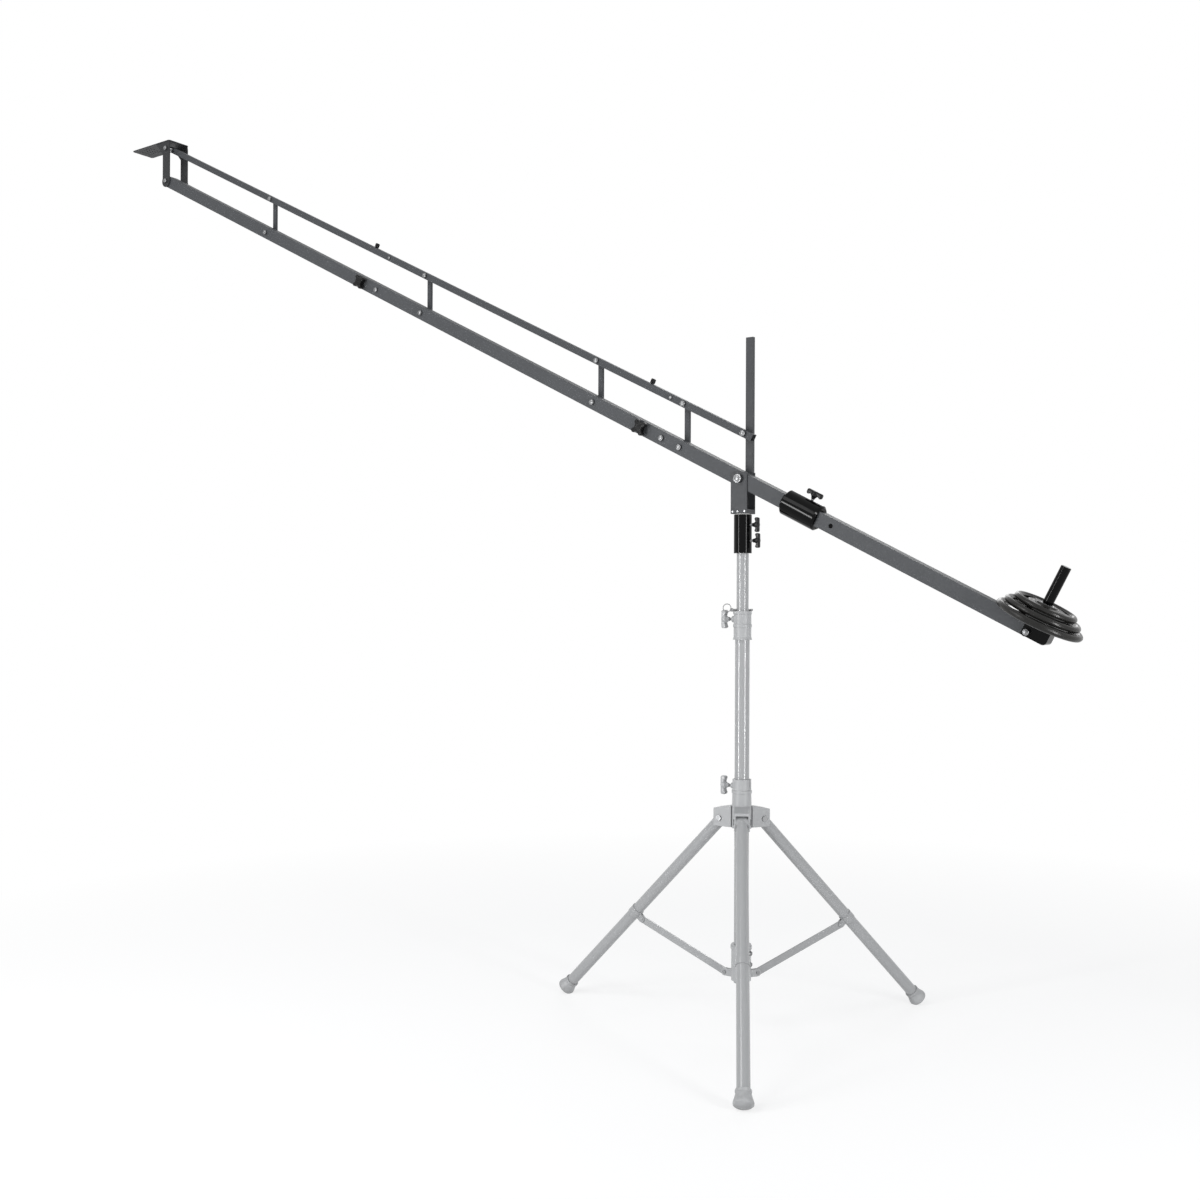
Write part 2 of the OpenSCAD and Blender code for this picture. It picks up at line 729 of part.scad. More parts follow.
// Upright bar on the far cheek that carries the rod's rear pivot
module post() {
    color("#46474a") translate([0, 0, pivot_h]) difference() {
        translate([post_shift - post_w / 2, cheek_out, -fork_drop + 4])
            cube([post_w, post_t, fork_drop - 4 + post_up]);
        rod_y(tilt_bolt_d / 2 + seat_gap, -big, big);
        translate([0, 0, link_h]) rod_y(bolt_d / 2 + seat_gap, -big, big);
    }
}

module pivot_bolts() {
    color("#c8cacc") {
        translate([0, 0, pivot_h]) cross_bolt(tilt_bolt_d, -cheek_out, post_far);
        translate([0, 0, pivot_h + link_h]) cross_bolt(bolt_d, rod_near - slide_gap, post_far);
    }
}

// Thin washers beside the boom and the spacer between rod and post
module pivot_washers() {
    color("#d8d8d8") {
        translate([0, 0, pivot_h]) for (y = [-cheek_in, half + slide_gap]) difference() {
            rod_y(tilt_bolt_d, y, y + washer_t - slide_gap);
            rod_y(tilt_bolt_d / 2 + seat_gap, -big, big);
        }
        translate([0, 0, pivot_h + link_h]) difference() {
            rod_y(bolt_d, rod_far + slide_gap, cheek_out);
            rod_y(bolt_d / 2 + seat_gap, -big, big);
        }
    }
}

// Boom

// Holes through the boom for every bolt and knob that lies between x0 and x1
module boom_holes(x0, x1) {
    for (s = concat(strut_at, splice_bolt_at)) if (-s > x0 && -s < x1)
        translate([-s, 0, 0]) rod_y(bolt_d / 2 + run_gap, -big, big);
    for (s = knob_at) if (-s > x0 && -s < x1)
        translate([-s, 0, 0]) rod_y(stem_d / 2 + seat_gap, -big, 0);
}

// Front tube with its round, solid nose
module boom_front() {
    color(boom_grey) boom_frame() difference() {
        union() {
            box_tube(-front_reach, -front_joint_at, boom_side, boom_wall, near_wall);
            translate([-front_reach, 0, 0]) rod_y(half, -half, half);
            translate([-front_reach, -half, -half]) cube([half + 6, boom_side, boom_side]);
        }
        translate([-front_reach, 0, 0]) rod_y(bolt_d / 2 + run_gap, -big, big);
        boom_holes(-front_reach, -front_joint_at);
    }
}

module boom_middle() {
    color(boom_grey) boom_frame() difference() {
        box_tube(-front_joint_at, -rear_joint_at, boom_side, boom_wall, near_wall);
        boom_holes(-front_joint_at, -rear_joint_at);
    }
}

module boom_rear() {
    color(boom_grey) boom_frame() difference() {
        box_tube(-rear_joint_at, tail_reach, boom_side, boom_wall, near_wall);
        rod_y(tilt_bolt_d / 2 + run_gap, -big, big);
        boom_holes(-rear_joint_at, tail_reach);
        translate([plug_at, 0, 0]) rod_y(plug_d / 2 + seat_gap, -big, 0);
    }
}

// Sleeves inside the two boom joints
module boom_splices() {
    color("#9a9c9e") boom_frame() for (s = [front_joint_at, rear_joint_at]) difference() {
        x0 = -s - splice_len / 2;
        box_tube(x0, min(x0 + splice_len, -tilt_bolt_d), splice_side, boom_wall, -splice_side / 2);
        boom_holes(x0, x0 + splice_len);
    }
}

module splice_knob(i) {
    color("#111112") boom_frame() translate([-knob_at[i], 0, 0])
        star_knob(-half - slide_gap, -half + boom_wall + 9);
}

// Strut bolts and the bolts that hold the splices
module boom_bolts() {
    color("#c8cacc") boom_frame() {
        for (s = strut_at) translate([-s, 0, 0]) cross_bolt(bolt_d, -half, strut_far + slide_gap);
        for (s = splice_bolt_at) translate([-s, 0, 0]) cross_bolt(bolt_d, -half, half);
    }
}

module boom_plug() {
    color("#0c0c0d") boom_frame() translate([plug_at, 0, 0])
        rod_y(plug_d / 2, -half + 0.2, -half + boom_wall + 3);
}

// Block that closes the boom's tail and carries the weight pin
module weight_holder() {
    corner = 10;
    color("#101011") boom_frame() difference() {
        union() {
            translate([tail_reach, -half, -half]) cube([holder_len - corner, boom_side, boom_side]);
            translate([tail_reach, -half, -half + corner]) cube([holder_len, boom_side, boom_side - corner]);
            translate([tail_reach + holder_len - corner, 0, -half + corner]) rod_y(corner, -half, half);
            translate([tail_reach - holder_shank, -splice_side / 2, -splice_side / 2])
                cube([holder_shank + cut, splice_side, splice_side]);
            translate([holder_bolt_x, 0, holder_bolt_z])
                rod_y(holder_boss_r, -half - holder_boss_t, -half + cut);
            translate([tail_reach + 4, 0, -half - 4]) cylinder(r = 3, h = 5);
        }
        translate([pin_at, 0, pin_foot]) cylinder(r = pin_d / 2 + seat_gap, h = big);
        translate([holder_bolt_x, 0, holder_bolt_z]) rod_y(bolt_d / 2 + seat_gap, -big, big);
    }
}

module holder_bolts() {
    color("#c8cacc") boom_frame() translate([holder_bolt_x, 0, holder_bolt_z])
        cross_bolt(bolt_d, -half - holder_boss_t, half);
}

// Pin for the plates, with a clip groove where they end
module weight_pin() {
    color("#0d0d0e") boom_frame() translate([pin_at, 0, 0]) difference() {
        union() {
            translate([0, 0, pin_foot]) cylinder(d = pin_d, h = pin_up - 1 - pin_foot);
            translate([0, 0, pin_up - 1]) cylinder(r1 = pin_d / 2, r2 = pin_d / 2 - 1, h = 1);
        }
        translate([0, 0, pin_groove_z]) difference() {
            cylinder(r = pin_d, h = pin_groove_w);
            translate([0, 0, -cut]) cylinder(r = pin_d / 2 - pin_groove_deep, h = pin_groove_w + 2 * cut);
        }
    }
}

// Levelling rod

// Holes through the rod for what lies between x0 and x1
module rod_holes(x0, x1) {
    for (s = concat([front_reach, 0], strut_at)) if (-s > x0 && -s < x1)
        translate([-s, 0, 0]) rod_y(bolt_d / 2 + run_gap, -big, big);
    for (s = rod_pin_at) if (-s > x0 && -s < x1)
        translate([-s, 0, 0]) rod_y(rod_pin_r + seat_gap, -big, big);
    for (s = rod_thumb_at) if (-s > x0 && -s < x1)
        translate([-s, rod_mid, 0]) cylinder(d = thumb_stem_d + 2 * seat_gap, h = big);
}

module rod_section(x0, x1) {
    color(rod_grey) rod_frame() difference() {
        box_tube(x0, x1, rod_side, rod_wall, rod_near);
        rod_holes(x0, x1);
    }
}

module rod_front() {
    rod_section(-rod_front_at, -rod_seam_at[0]);
}

module rod_middle() {
    rod_section(-rod_seam_at[0], -rod_seam_at[1]);
}

module rod_rear() {
    rod_section(-rod_seam_at[1], rod_tail);
}

// Square bars inside the two rod joints
module rod_splices() {
    side = rod_side - 2 * rod_wall - 2 * seat_gap;
    color("#9a9c9e") rod_frame() for (s = rod_seam_at) difference() {
        x0 = -s - rod_splice_l / 2;
        translate([x0, rod_mid - side / 2, -side / 2]) cube([rod_splice_l, side, side]);
        rod_holes(x0, x0 + rod_splice_l);
    }
}

// Knurled thumb screw on top of the rod
module rod_screw(i) {
    top = rod_side / 2;
    neck_h = 5;
    color("#141415") rod_frame() translate([-rod_thumb_at[i], rod_mid, 0]) {
        translate([0, 0, 1]) cylinder(d = thumb_stem_d, h = top + 1);
        translate([0, 0, top + slide_gap]) cylinder(r = thumb_r - 2, h = neck_h);
        translate([0, 0, top + slide_gap + neck_h]) linear_extrude(thumb_h) {
            circle(thumb_r);
            for (a = [0 : 30 : 330]) rotate(a) translate([thumb_r, 0]) circle(1.1, $fn = 16);
        }
        translate([0, 0, top + slide_gap + neck_h + thumb_h])
            cylinder(r1 = thumb_r, r2 = thumb_r - 1.5, h = 1.5);
    }
}

module rod_bolts() {
    color("#c8cacc") rod_frame() {
        for (s = strut_at) translate([-s, 0, 0]) cross_bolt(bolt_d, rod_near, strut_far + slide_gap);
        for (s = rod_pin_at) translate([-s, 0, 0]) cross_bolt(2 * rod_pin_r, rod_near, rod_far, false);
    }
}

// Upright bar between the boom and the rod
module strut(i) {
    color("#48494c") hang_at(-strut_at[i]) difference() {
        union() {
            translate([-strut_w / 2, strut_near, 0]) cube([strut_w, strut_t, link_h]);
            rod_y(strut_w / 2, strut_near, strut_far);
            translate([0, 0, link_h]) rod_y(strut_w / 2, strut_near, strut_far);
        }
        rod_y(bolt_d / 2 + run_gap, -big, big);
        translate([0, 0, link_h]) rod_y(bolt_d / 2 + run_gap, -big, big);
    }
}

// Camera platform

// One leg of the bracket, its near face at y
module platform_ear(y) {
    translate([0, y + ear_t, 0]) rotate([90, 0, 0]) linear_extrude(ear_t) {
        circle(ear_w * 0.57);
        polygon([[-ear_w / 2, 0], [-ear_w / 2, deck_low - 46], [-ear_w / 2 - 40, deck_low + 0.5],
            [deck_back - 3, deck_low + 0.5], [ear_w / 2, deck_low - 14], [ear_w / 2, 0]]);
    }
}

// Level plate with camera holes on a two-legged bracket
module camera_platform() {
    color("#3a3b3d") hang_at(-front_reach) difference() {
        union() {
            translate([0, 0, deck_low]) linear_extrude(deck_t)
                round_rect(-deck_front, deck_near, deck_back, deck_far, 8);
            platform_ear(ear_near);
            platform_ear(far_ear);
        }
        rod_y(bolt_d / 2 + seat_gap, -big, big);
        translate([0, 0, link_h]) rod_y(bolt_d / 2 + seat_gap, -big, big);
        for (i = [0 : slot_n - 1]) translate([-i * slot_pitch - 2, ear_near + ear_t + 14, deck_low - cut])
            linear_extrude(deck_t + 2 * cut) slot_outline();
        for (i = [0 : grid_n[0] - 1]) for (j = [0 : grid_n[1] - 1])
            translate([grid_from[0] + i * grid_pitch, deck_near + grid_from[1] + j * grid_pitch, 0])
                translate([0, 0, deck_low - cut]) cylinder(d = screw_hole_d, h = deck_t + 2 * cut);
    }
}

// Slot along y with round ends
module slot_outline() {
    r = slot_size[0] / 2;
    run = slot_size[1] / 2 - r;
    translate([-r, -run]) square([2 * r, 2 * run]);
    for (s = [-1, 1]) translate([0, s * run]) circle(r);
}

module platform_bolts() {
    color("#c8cacc") hang_at(-front_reach) for (z = [0, link_h]) translate([0, 0, z])
        cross_bolt(bolt_d, ear_near, far_ear + ear_t);
}

// Spacer tubes on the two platform bolts
module platform_spacers() {
    color("#a6a8aa") hang_at(-front_reach) {
        spacer(half + slide_gap, far_ear);
        translate([0, 0, link_h]) {
            spacer(ear_near + ear_t, rod_near - slide_gap);
            spacer(rod_far + slide_gap, far_ear);
        }
    }
}

module spacer(y0, y1) {
    difference() {
        rod_y(bolt_d * 0.95, y0, y1);
        rod_y(bolt_d / 2 + seat_gap, y0 - cut, y1 + cut);
    }
}

// Weights

// Plate with a bead round its rim, a thick hub and three grip openings
module weight_plate(i) {
    r = plate_d[i] / 2;
    t = plate_t[i];
    bead = t / 2;
    web = t * 0.55;
    hub = plate_bore / 2 + 12;
    slot_in = hub + 6 + 0.16 * r;
    slot_out = r - 2 * bead - 1;
    color("#1b1b1c") boom_frame() translate([pin_at, 0, plate_base[i]]) difference() {
        rotate_extrude() {
            translate([r - bead, bead]) circle(bead);
            translate([plate_bore / 2, (t - web) / 2]) square([r - bead - plate_bore / 2, web]);
            translate([plate_bore / 2, 0]) square([hub - plate_bore / 2, t]);
        }
        for (a = [0 : 120 : 240]) rotate(a + 30) grip_opening(slot_in, slot_out, t);
    }
}

// Curved grip opening between two radii
module grip_opening(r0, r1, t) {
    sweep = 68;
    w = (r1 - r0) / 2 - 0.6;
    mid = (r0 + r1) / 2;
    translate([0, 0, -cut]) {
        rotate_extrude(angle = sweep) translate([r0, 0]) square([r1 - r0, t + 2 * cut]);
        for (a = [0, sweep]) rotate(a) translate([mid, 0, 0]) cylinder(r = w, h = t + 2 * cut);
    }
}

// Round trim weight that slides on the boom
module counterweight() {
    hole = boom_side + 2 * slide_gap;
    color("#0e0e0f") boom_frame() translate([trim_at, 0, 0]) difference() {
        rotate([0, 90, 0]) union() {
            cylinder(d1 = trim_d - 2 * trim_bevel, d2 = trim_d, h = trim_bevel);
            translate([0, 0, trim_bevel]) cylinder(d = trim_d, h = trim_len - 2 * trim_bevel);
            translate([0, 0, trim_len - trim_bevel])
                cylinder(d1 = trim_d, d2 = trim_d - 2 * trim_bevel, h = trim_bevel);
        }
        translate([-cut, -hole / 2, -hole / 2]) cube([trim_len + 2 * cut, hole, hole]);
        translate([trim_knob_x, 0, 0]) cylinder(d = stem_d + 2 * seat_gap, h = big);
    }
}

module counterweight_knob() {
    color("#131314") boom_frame() translate([trim_at + trim_knob_x, 0, half + slide_gap])
        bar_knob(knob_l + 8, trim_d / 2 - half + 4, 9, 11);
}

leg_hub();
hub_pins();
hub_knob();
leg(0);  // leg_1
leg(1);  // leg_2
leg(2);  // leg_3
foot(0);  // foot_1
foot(1);  // foot_2
foot(2);  // foot_3
brace(0);  // brace_1
brace(1);  // brace_2
brace(2);  // brace_3
column_tube();
column_bracket();
bracket_bolts();
column_collar();
collar_knob();
riser_tube();
lock_pin();
stand_socket();
socket_knob(0);  // socket_knob_upper
socket_knob(1);  // socket_knob_lower
swivel_washer();
swivel_bolt();
fork();
fork_base();
fork_screws();
post();
pivot_bolts();
pivot_washers();
boom_front();
boom_middle();
boom_rear();
boom_splices();
splice_knob(0);  // splice_knob_front
splice_knob(1);  // splice_knob_rear
boom_bolts();
boom_plug();
weight_holder();
holder_bolts();
weight_pin();
rod_front();
rod_middle();
rod_rear();
rod_splices();
rod_screw(0);  // rod_screw_front
rod_screw(1);  // rod_screw_rear
rod_bolts();
strut(0);  // strut_1
strut(1);  // strut_2
strut(2);  // strut_3
strut(3);  // strut_4
camera_platform();
platform_bolts();
platform_spacers();
weight_plate(0);  // plate_large
weight_plate(1);  // plate_medium
weight_plate(2);  // plate_small
counterweight();
counterweight_knob();
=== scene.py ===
"""Looks of a counterweighted camera jib crane on its folding tripod stand.

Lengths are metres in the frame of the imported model. The stand's axis is the Z axis and the floor is
z = 0. The camera end of the boom points to -X, the weights to +X and the near side is -Y.
"""

import json
import logging
import math
from dataclasses import dataclass
from enum import Enum
from typing import Iterable, Sequence

import bmesh
import bpy
from mathutils import Matrix, Vector

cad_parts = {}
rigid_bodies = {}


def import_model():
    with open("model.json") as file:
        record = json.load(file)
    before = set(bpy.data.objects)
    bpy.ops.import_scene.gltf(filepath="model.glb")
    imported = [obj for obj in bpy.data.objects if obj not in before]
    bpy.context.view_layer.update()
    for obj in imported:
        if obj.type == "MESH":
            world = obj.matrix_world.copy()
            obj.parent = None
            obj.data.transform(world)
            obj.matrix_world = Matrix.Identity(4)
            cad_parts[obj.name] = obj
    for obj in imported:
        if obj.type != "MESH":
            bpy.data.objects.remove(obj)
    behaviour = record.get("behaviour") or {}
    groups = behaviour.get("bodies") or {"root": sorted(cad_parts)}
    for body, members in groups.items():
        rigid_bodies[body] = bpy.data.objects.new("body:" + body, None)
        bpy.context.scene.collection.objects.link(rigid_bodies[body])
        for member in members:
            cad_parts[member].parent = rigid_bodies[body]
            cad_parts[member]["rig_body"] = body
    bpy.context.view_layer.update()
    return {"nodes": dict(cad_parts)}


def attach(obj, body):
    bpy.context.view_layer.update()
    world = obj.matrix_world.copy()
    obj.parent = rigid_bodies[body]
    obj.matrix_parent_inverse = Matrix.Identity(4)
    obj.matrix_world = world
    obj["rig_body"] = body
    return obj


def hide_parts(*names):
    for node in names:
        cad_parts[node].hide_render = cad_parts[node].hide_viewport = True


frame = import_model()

LOG = logging.getLogger("jib")
SMOOTH_BELOW = math.radians(35)
MERGE_GAP = 1e-7
BEVEL_SAMPLES = 6
Socket = bpy.types.NodeSocket
Colour = tuple[float, float, float]
Outline = list[tuple[float, float]]


class Grain(Enum):
    """The surface texture that a finish carries."""

    POWDER = "powder"
    ENAMEL = "enamel"
    BRUSHED = "brushed"
    MOULDED = "moulded"
    RUBBER = "rubber"


@dataclass(frozen=True)
class Layout:
    """Driving sizes of the crane that the added pieces are placed by."""

    pivot_h: float = 1.500
    boom_angle: float = math.radians(26.78)
    boom_side: float = 0.040
    front_reach: float = 2.820
    tail_reach: float = 0.869
    rod_rise: float = 0.125
    pin_behind: float = 0.021
    hinge_h: float = 0.573
    hinge_r: float = 0.060
    foot_r: float = 0.610
    leg_heading: float = math.radians(30.33)

    def boom(self) -> Matrix:
        """Return the boom's own frame: +x towards the weights, +z square to the boom."""
        return Matrix.Translation((0, 0, self.pivot_h)) @ Matrix.Rotation(self.boom_angle, 4, "Y")

    def rod(self) -> Matrix:
        """Return the levelling rod's frame, which is the boom's raised to the rod's line."""
        return Matrix.Translation((0, 0, self.rod_rise)) @ self.boom()

    def leg(self, index: int) -> Matrix:
        """Return the frame whose +x points along the heading of one leg.

        Args:
            index: The leg, from 0 to 2.

        Returns:
            A turn about the stand's axis.
        """
        return Matrix.Rotation(self.leg_heading - math.pi / 2 + index * math.tau / 3, 4, "Z")

    def leg_line(self, index: int) -> Matrix:
        """Return the frame of one leg tube: origin at its hinge and +z down along the tube.

        Args:
            index: The leg, from 0 to 2.

        Returns:
            The leg tube's frame.
        """
        tilt = math.atan2(self.foot_r - self.hinge_r, self.hinge_h)
        at_hinge = Matrix.Translation((self.hinge_r, 0, self.hinge_h))
        return self.leg(index) @ at_hinge @ Matrix.Rotation(math.pi - tilt, 4, "Y")

    def leg_length(self) -> float:
        """Return the distance from a leg's hinge to the middle of its foot on the floor."""
        return math.hypot(self.foot_r - self.hinge_r, self.hinge_h)


LAYOUT = Layout()


class NodeBench:
    """Wires up the shader nodes of a material or of the world."""

    def __init__(self, owner: bpy.types.Material | bpy.types.World, output: str) -> None:
        """Start with no nodes but the output.

        Args:
            owner: The material or the world.
            output: Blender's name of its output node.
        """
        self.owner = owner
        owner.use_nodes = True
        self.tree = owner.node_tree
        self.tree.nodes.clear()
        self.output = self.tree.nodes.new(output)

    def join(self, source: Socket, target: Socket) -> None:
        """Link two sockets."""
        self.tree.links.new(source, target)

    def show(self, shader: Socket) -> None:
        """Send a shader to the output."""
        self.join(shader, self.output.inputs["Surface"])

    def node(self, kind: str, **settings: object) -> bpy.types.Node:
        """Add a node.

        Args:
            kind: Blender's name of the node type.
            **settings: Properties of the node, or values of its sockets under their own names.

        Returns:
            The new node.
        """
        made = self.tree.nodes.new(kind)
        for key, value in settings.items():
            if hasattr(made, key):
                setattr(made, key, value)
            else:
                made.inputs[key.replace("_", " ")].default_value = value
        return made

    def mixed(self, share: Socket, first: Socket, second: Socket) -> Socket:
        """Mix two shaders by the share of the second."""
        made = self.node("ShaderNodeMixShader")
        for source, target in zip((share, first, second), made.inputs):
            self.join(source, target)
        return made.outputs[0]

    def sight(self) -> Socket:
        """Return a socket that is 1 on rays that show the surroundings, also in metal and plastic."""
        path = self.node("ShaderNodeLightPath")
        seen = path.outputs["Is Camera Ray"]
        for kind in ("Is Glossy Ray", "Is Transmission Ray"):
            either = self.node("ShaderNodeMath", operation="MAXIMUM")
            self.join(seen, either.inputs[0])
            self.join(path.outputs[kind], either.inputs[1])
            seen = either.outputs[0]
        return seen

    def place(self, scale: Sequence[float] = (1, 1, 1)) -> Socket:
        """Give object coordinates, stretched by a scale along each axis."""
        coords = self.node("ShaderNodeTexCoord")
        stretched = self.node("ShaderNodeMapping", vector_type="POINT")
        stretched.inputs["Scale"].default_value = scale
        self.join(coords.outputs["Object"], stretched.inputs["Vector"])
        return stretched.outputs["Vector"]

    def noise(self, vector: Socket, scale: float, detail: float = 3.0, rough: float = 0.5) -> Socket:
        """Add a noise texture.

        Args:
            vector: Socket with the coordinates.
            scale: Repeats per metre.
            detail: Octaves.
            rough: Strength of the finer octaves.

        Returns:
            The socket with the noise value.
        """
        made = self.node("ShaderNodeTexNoise", Scale=scale, Detail=detail, Roughness=rough)
        self.join(vector, made.inputs["Vector"])
        return made.outputs["Fac"]

    def spread(
        self, value: Socket, low: float, high: float, bottom: float = 0.3, top: float = 0.7,
    ) -> Socket:
        """Map a value from one range to another.

        Args:
            value: Socket with the value.
            low: Result at the bottom of the range.
            high: Result at the top of the range.
            bottom: Bottom of the range that is read.
            top: Top of the range that is read.

        Returns:
            The socket with the result.
        """
        made = self.node("ShaderNodeMapRange", clamp=True)
        for key, number in (("From Min", bottom), ("From Max", top), ("To Min", low), ("To Max", high)):
            made.inputs[key].default_value = number
        self.join(value, made.inputs["Value"])
        return made.outputs["Result"]

    def blend(self, share: Socket, first: Socket | Colour, second: Socket | Colour) -> Socket:
        """Mix two colours.

        Args:
            share: Socket with the share of the second colour.
            first: Colour, or socket with a colour, at share 0.
            second: Colour, or socket with a colour, at share 1.

        Returns:
            The socket with the mixed colour.
        """
        made = self.node("ShaderNodeMix", data_type="RGBA")
        self.join(share, made.inputs["Factor"])
        for letter, value in (("A", first), ("B", second)):
            target = next(s for s in made.inputs if s.name == letter and s.type == "RGBA")
            if isinstance(value, Socket):
                self.join(value, target)
            else:
                target.default_value = (*value, 1.0)
        return next(s for s in made.outputs if s.type == "RGBA")

    def soft_edges(self, radius: float) -> Socket:
        """Give the normal with sharp edges rounded off to a radius."""
        return self.node("ShaderNodeBevel", samples=BEVEL_SAMPLES, Radius=radius).outputs["Normal"]

    def sheen_edges(self, radius: float) -> Socket:
        """Give 0 on flats and 1 within a radius of a sharp edge."""
        true_normal = self.node("ShaderNodeNewGeometry")
        dot = self.node("ShaderNodeVectorMath", operation="DOT_PRODUCT")
        self.join(self.soft_edges(radius), dot.inputs[0])
        self.join(true_normal.outputs["True Normal"], dot.inputs[1])
        return self.spread(dot.outputs["Value"], 1.0, 0.0, bottom=0.72, top=0.985)


class FinishBench(NodeBench):
    """Wires up one finish round its main shader."""

    def __init__(self, name: str) -> None:
        """Start a material by its name."""
        super().__init__(bpy.data.materials.new(name), "ShaderNodeOutputMaterial")
        self.shader = self.node("ShaderNodeBsdfPrincipled")
        self.show(self.shader.outputs["BSDF"])

    def bump(self, height: Socket, depth: float, strength: float, edge: float) -> None:
        """Drive the main shader's normal by a height, over rounded edges.

        Args:
            height: Socket with the height.
            depth: Height of a step of 1, in metres.
            strength: Strength of the bump.
            edge: Radius of the rounding.
        """
        made = self.node("ShaderNodeBump", Strength=strength, Distance=depth)
        self.join(height, made.inputs["Height"])
        self.join(self.soft_edges(edge), made.inputs["Normal"])
        self.join(made.outputs["Normal"], self.shader.inputs["Normal"])


@dataclass(frozen=True)
class Finish:
    """One finish of the crane, built as a procedural material.

    The edge is the radius that edges are shaded with, the shift how far the colour drifts, the edge sheen
    how strongly a highlight is painted along sharp edges and the gloss the strength of reflections.
    """

    name: str
    slot: str
    colour: Colour
    grain: Grain
    roughness: float
    metallic: float = 0.0
    edge: float = 0.0006
    shift: float = 0.06
    edge_sheen: float = 0.0
    gloss: float = 0.5

    def material(self) -> bpy.types.Material:
        """Return the finish's material, built once."""
        found = bpy.data.materials.get(self.name)
        return found if found else self.build()

    def shade(self, factor: float) -> Colour:
        """Return the finish's colour made darker or lighter by a factor."""
        return tuple(min(1.0, c * factor) for c in self.colour)

    def build(self) -> bpy.types.Material:
        """Wire up the finish's colour, roughness and surface texture."""
        bench = FinishBench(self.name)
        bench.shader.inputs["Metallic"].default_value = self.metallic
        bench.shader.inputs["Specular IOR Level"].default_value = self.gloss
        {
            Grain.POWDER: self.powder,
            Grain.ENAMEL: self.enamel,
            Grain.BRUSHED: self.brushed,
            Grain.MOULDED: self.moulded,
            Grain.RUBBER: self.rubber,
        }[self.grain](bench)
        return bench.owner

    def paint(self, bench: FinishBench, cloud: Socket) -> None:
        """Set a colour that drifts a little over the surface, with a painted highlight in patches along
        sharp edges.

        Args:
            bench: The material's nodes.
            cloud: Socket with the slow variation.
        """
        drift = bench.spread(cloud, 0.0, 1.0)
        colour = bench.blend(drift, self.shade(1 - self.shift), self.shade(1 + self.shift))
        if self.edge_sheen > 0:
            # Painted highlight: sharp edges are lightened in patches, standing in for the sheen that light
            # gives along them.
            sheen_share = bench.node("ShaderNodeMath", operation="MULTIPLY")
            bench.join(bench.sheen_edges(radius=0.0009), sheen_share.inputs[0])
            sheen_patches = bench.noise(bench.place(), scale=55.0, detail=4.0, rough=0.7)
            bench.join(bench.spread(sheen_patches, 0.0, self.edge_sheen, bottom=0.35), sheen_share.inputs[1])
            colour = bench.blend(sheen_share.outputs[0], colour, self.shade(1.7))
        bench.join(colour, bench.shader.inputs["Base Color"])

    def sheen(
        self, bench: FinishBench, cloud: Socket, smoother: float, rougher: float,
        bottom: float = 0.3, top: float = 0.7,
    ) -> None:
        """Let the roughness drift over the surface.

        Args:
            bench: The material's nodes.
            cloud: Socket with the variation.
            smoother: How far the roughness goes below the finish's own.
            rougher: How far it goes above.
            bottom: Bottom of the variation's range that is read.
            top: Top of that range.
        """
        low, high = self.roughness - smoother, self.roughness + rougher
        bench.join(bench.spread(cloud, low, high, bottom, top), bench.shader.inputs["Roughness"])

    def powder(self, bench: FinishBench) -> None:
        """Powder coat: a fine pebbled skin with an even satin sheen."""
        place = bench.place()
        self.paint(bench, bench.noise(place, scale=9.0, detail=4.0, rough=0.6))
        self.sheen(bench, bench.noise(place, scale=140.0), smoother=0.05, rougher=0.06)
        pebbles = bench.noise(place, scale=1500.0, detail=2.0, rough=0.6)
        bench.bump(pebbles, depth=0.00004, strength=0.25, edge=self.edge)

    def enamel(self, bench: FinishBench) -> None:
        """Gloss enamel: a slow ripple in the paint and faint handling smears."""
        place = bench.place()
        self.paint(bench, bench.noise(place, scale=12.0))
        smears = bench.noise(place, scale=34.0, detail=5.0, rough=0.65)
        self.sheen(bench, smears, smoother=0.0, rougher=0.08, bottom=0.4, top=0.8)
        ripple = bench.noise(place, scale=260.0, detail=2.0, rough=0.4)
        bench.bump(ripple, depth=0.00004, strength=0.35, edge=self.edge)

    def brushed(self, bench: FinishBench) -> None:
        """Drawn or turned metal: fine lines along one direction."""
        lines = bench.place(scale=(6.0, 900.0, 900.0))
        self.paint(bench, bench.noise(lines, scale=1.0, detail=4.0, rough=0.6))
        cloud = bench.noise(bench.place(), scale=60.0, detail=4.0, rough=0.6)
        self.sheen(bench, cloud, smoother=0.06, rougher=0.08)
        scratches = bench.noise(lines, scale=1.0, detail=2.0)
        bench.bump(scratches, depth=0.00003, strength=0.25, edge=self.edge)

    def moulded(self, bench: FinishBench) -> None:
        """Moulded plastic: a faint spark texture and soft shine."""
        place = bench.place()
        self.paint(bench, bench.noise(place, scale=40.0))
        self.sheen(bench, bench.noise(place, scale=90.0), smoother=0.03, rougher=0.05)
        spark = bench.noise(place, scale=2200.0, detail=1.0)
        bench.bump(spark, depth=0.00003, strength=0.3, edge=self.edge)

    def rubber(self, bench: FinishBench) -> None:
        """Vulcanised rubber: a matt skin with dusty bloom and shallow scuffs."""
        place = bench.place()
        dust = bench.noise(place, scale=26.0, detail=6.0, rough=0.7)
        bloom = bench.spread(dust, 0.0, 1.0, bottom=0.35, top=0.75)
        colour = bench.blend(bloom, self.shade(0.75), self.shade(1.0 + 6 * self.shift))
        bench.join(colour, bench.shader.inputs["Base Color"])
        self.sheen(bench, bench.noise(place, scale=70.0, detail=4.0), smoother=0.10, rougher=0.10)
        scuffs = bench.noise(place, scale=700.0, detail=4.0, rough=0.65)
        bench.bump(scuffs, depth=0.00018, strength=0.6, edge=self.edge)


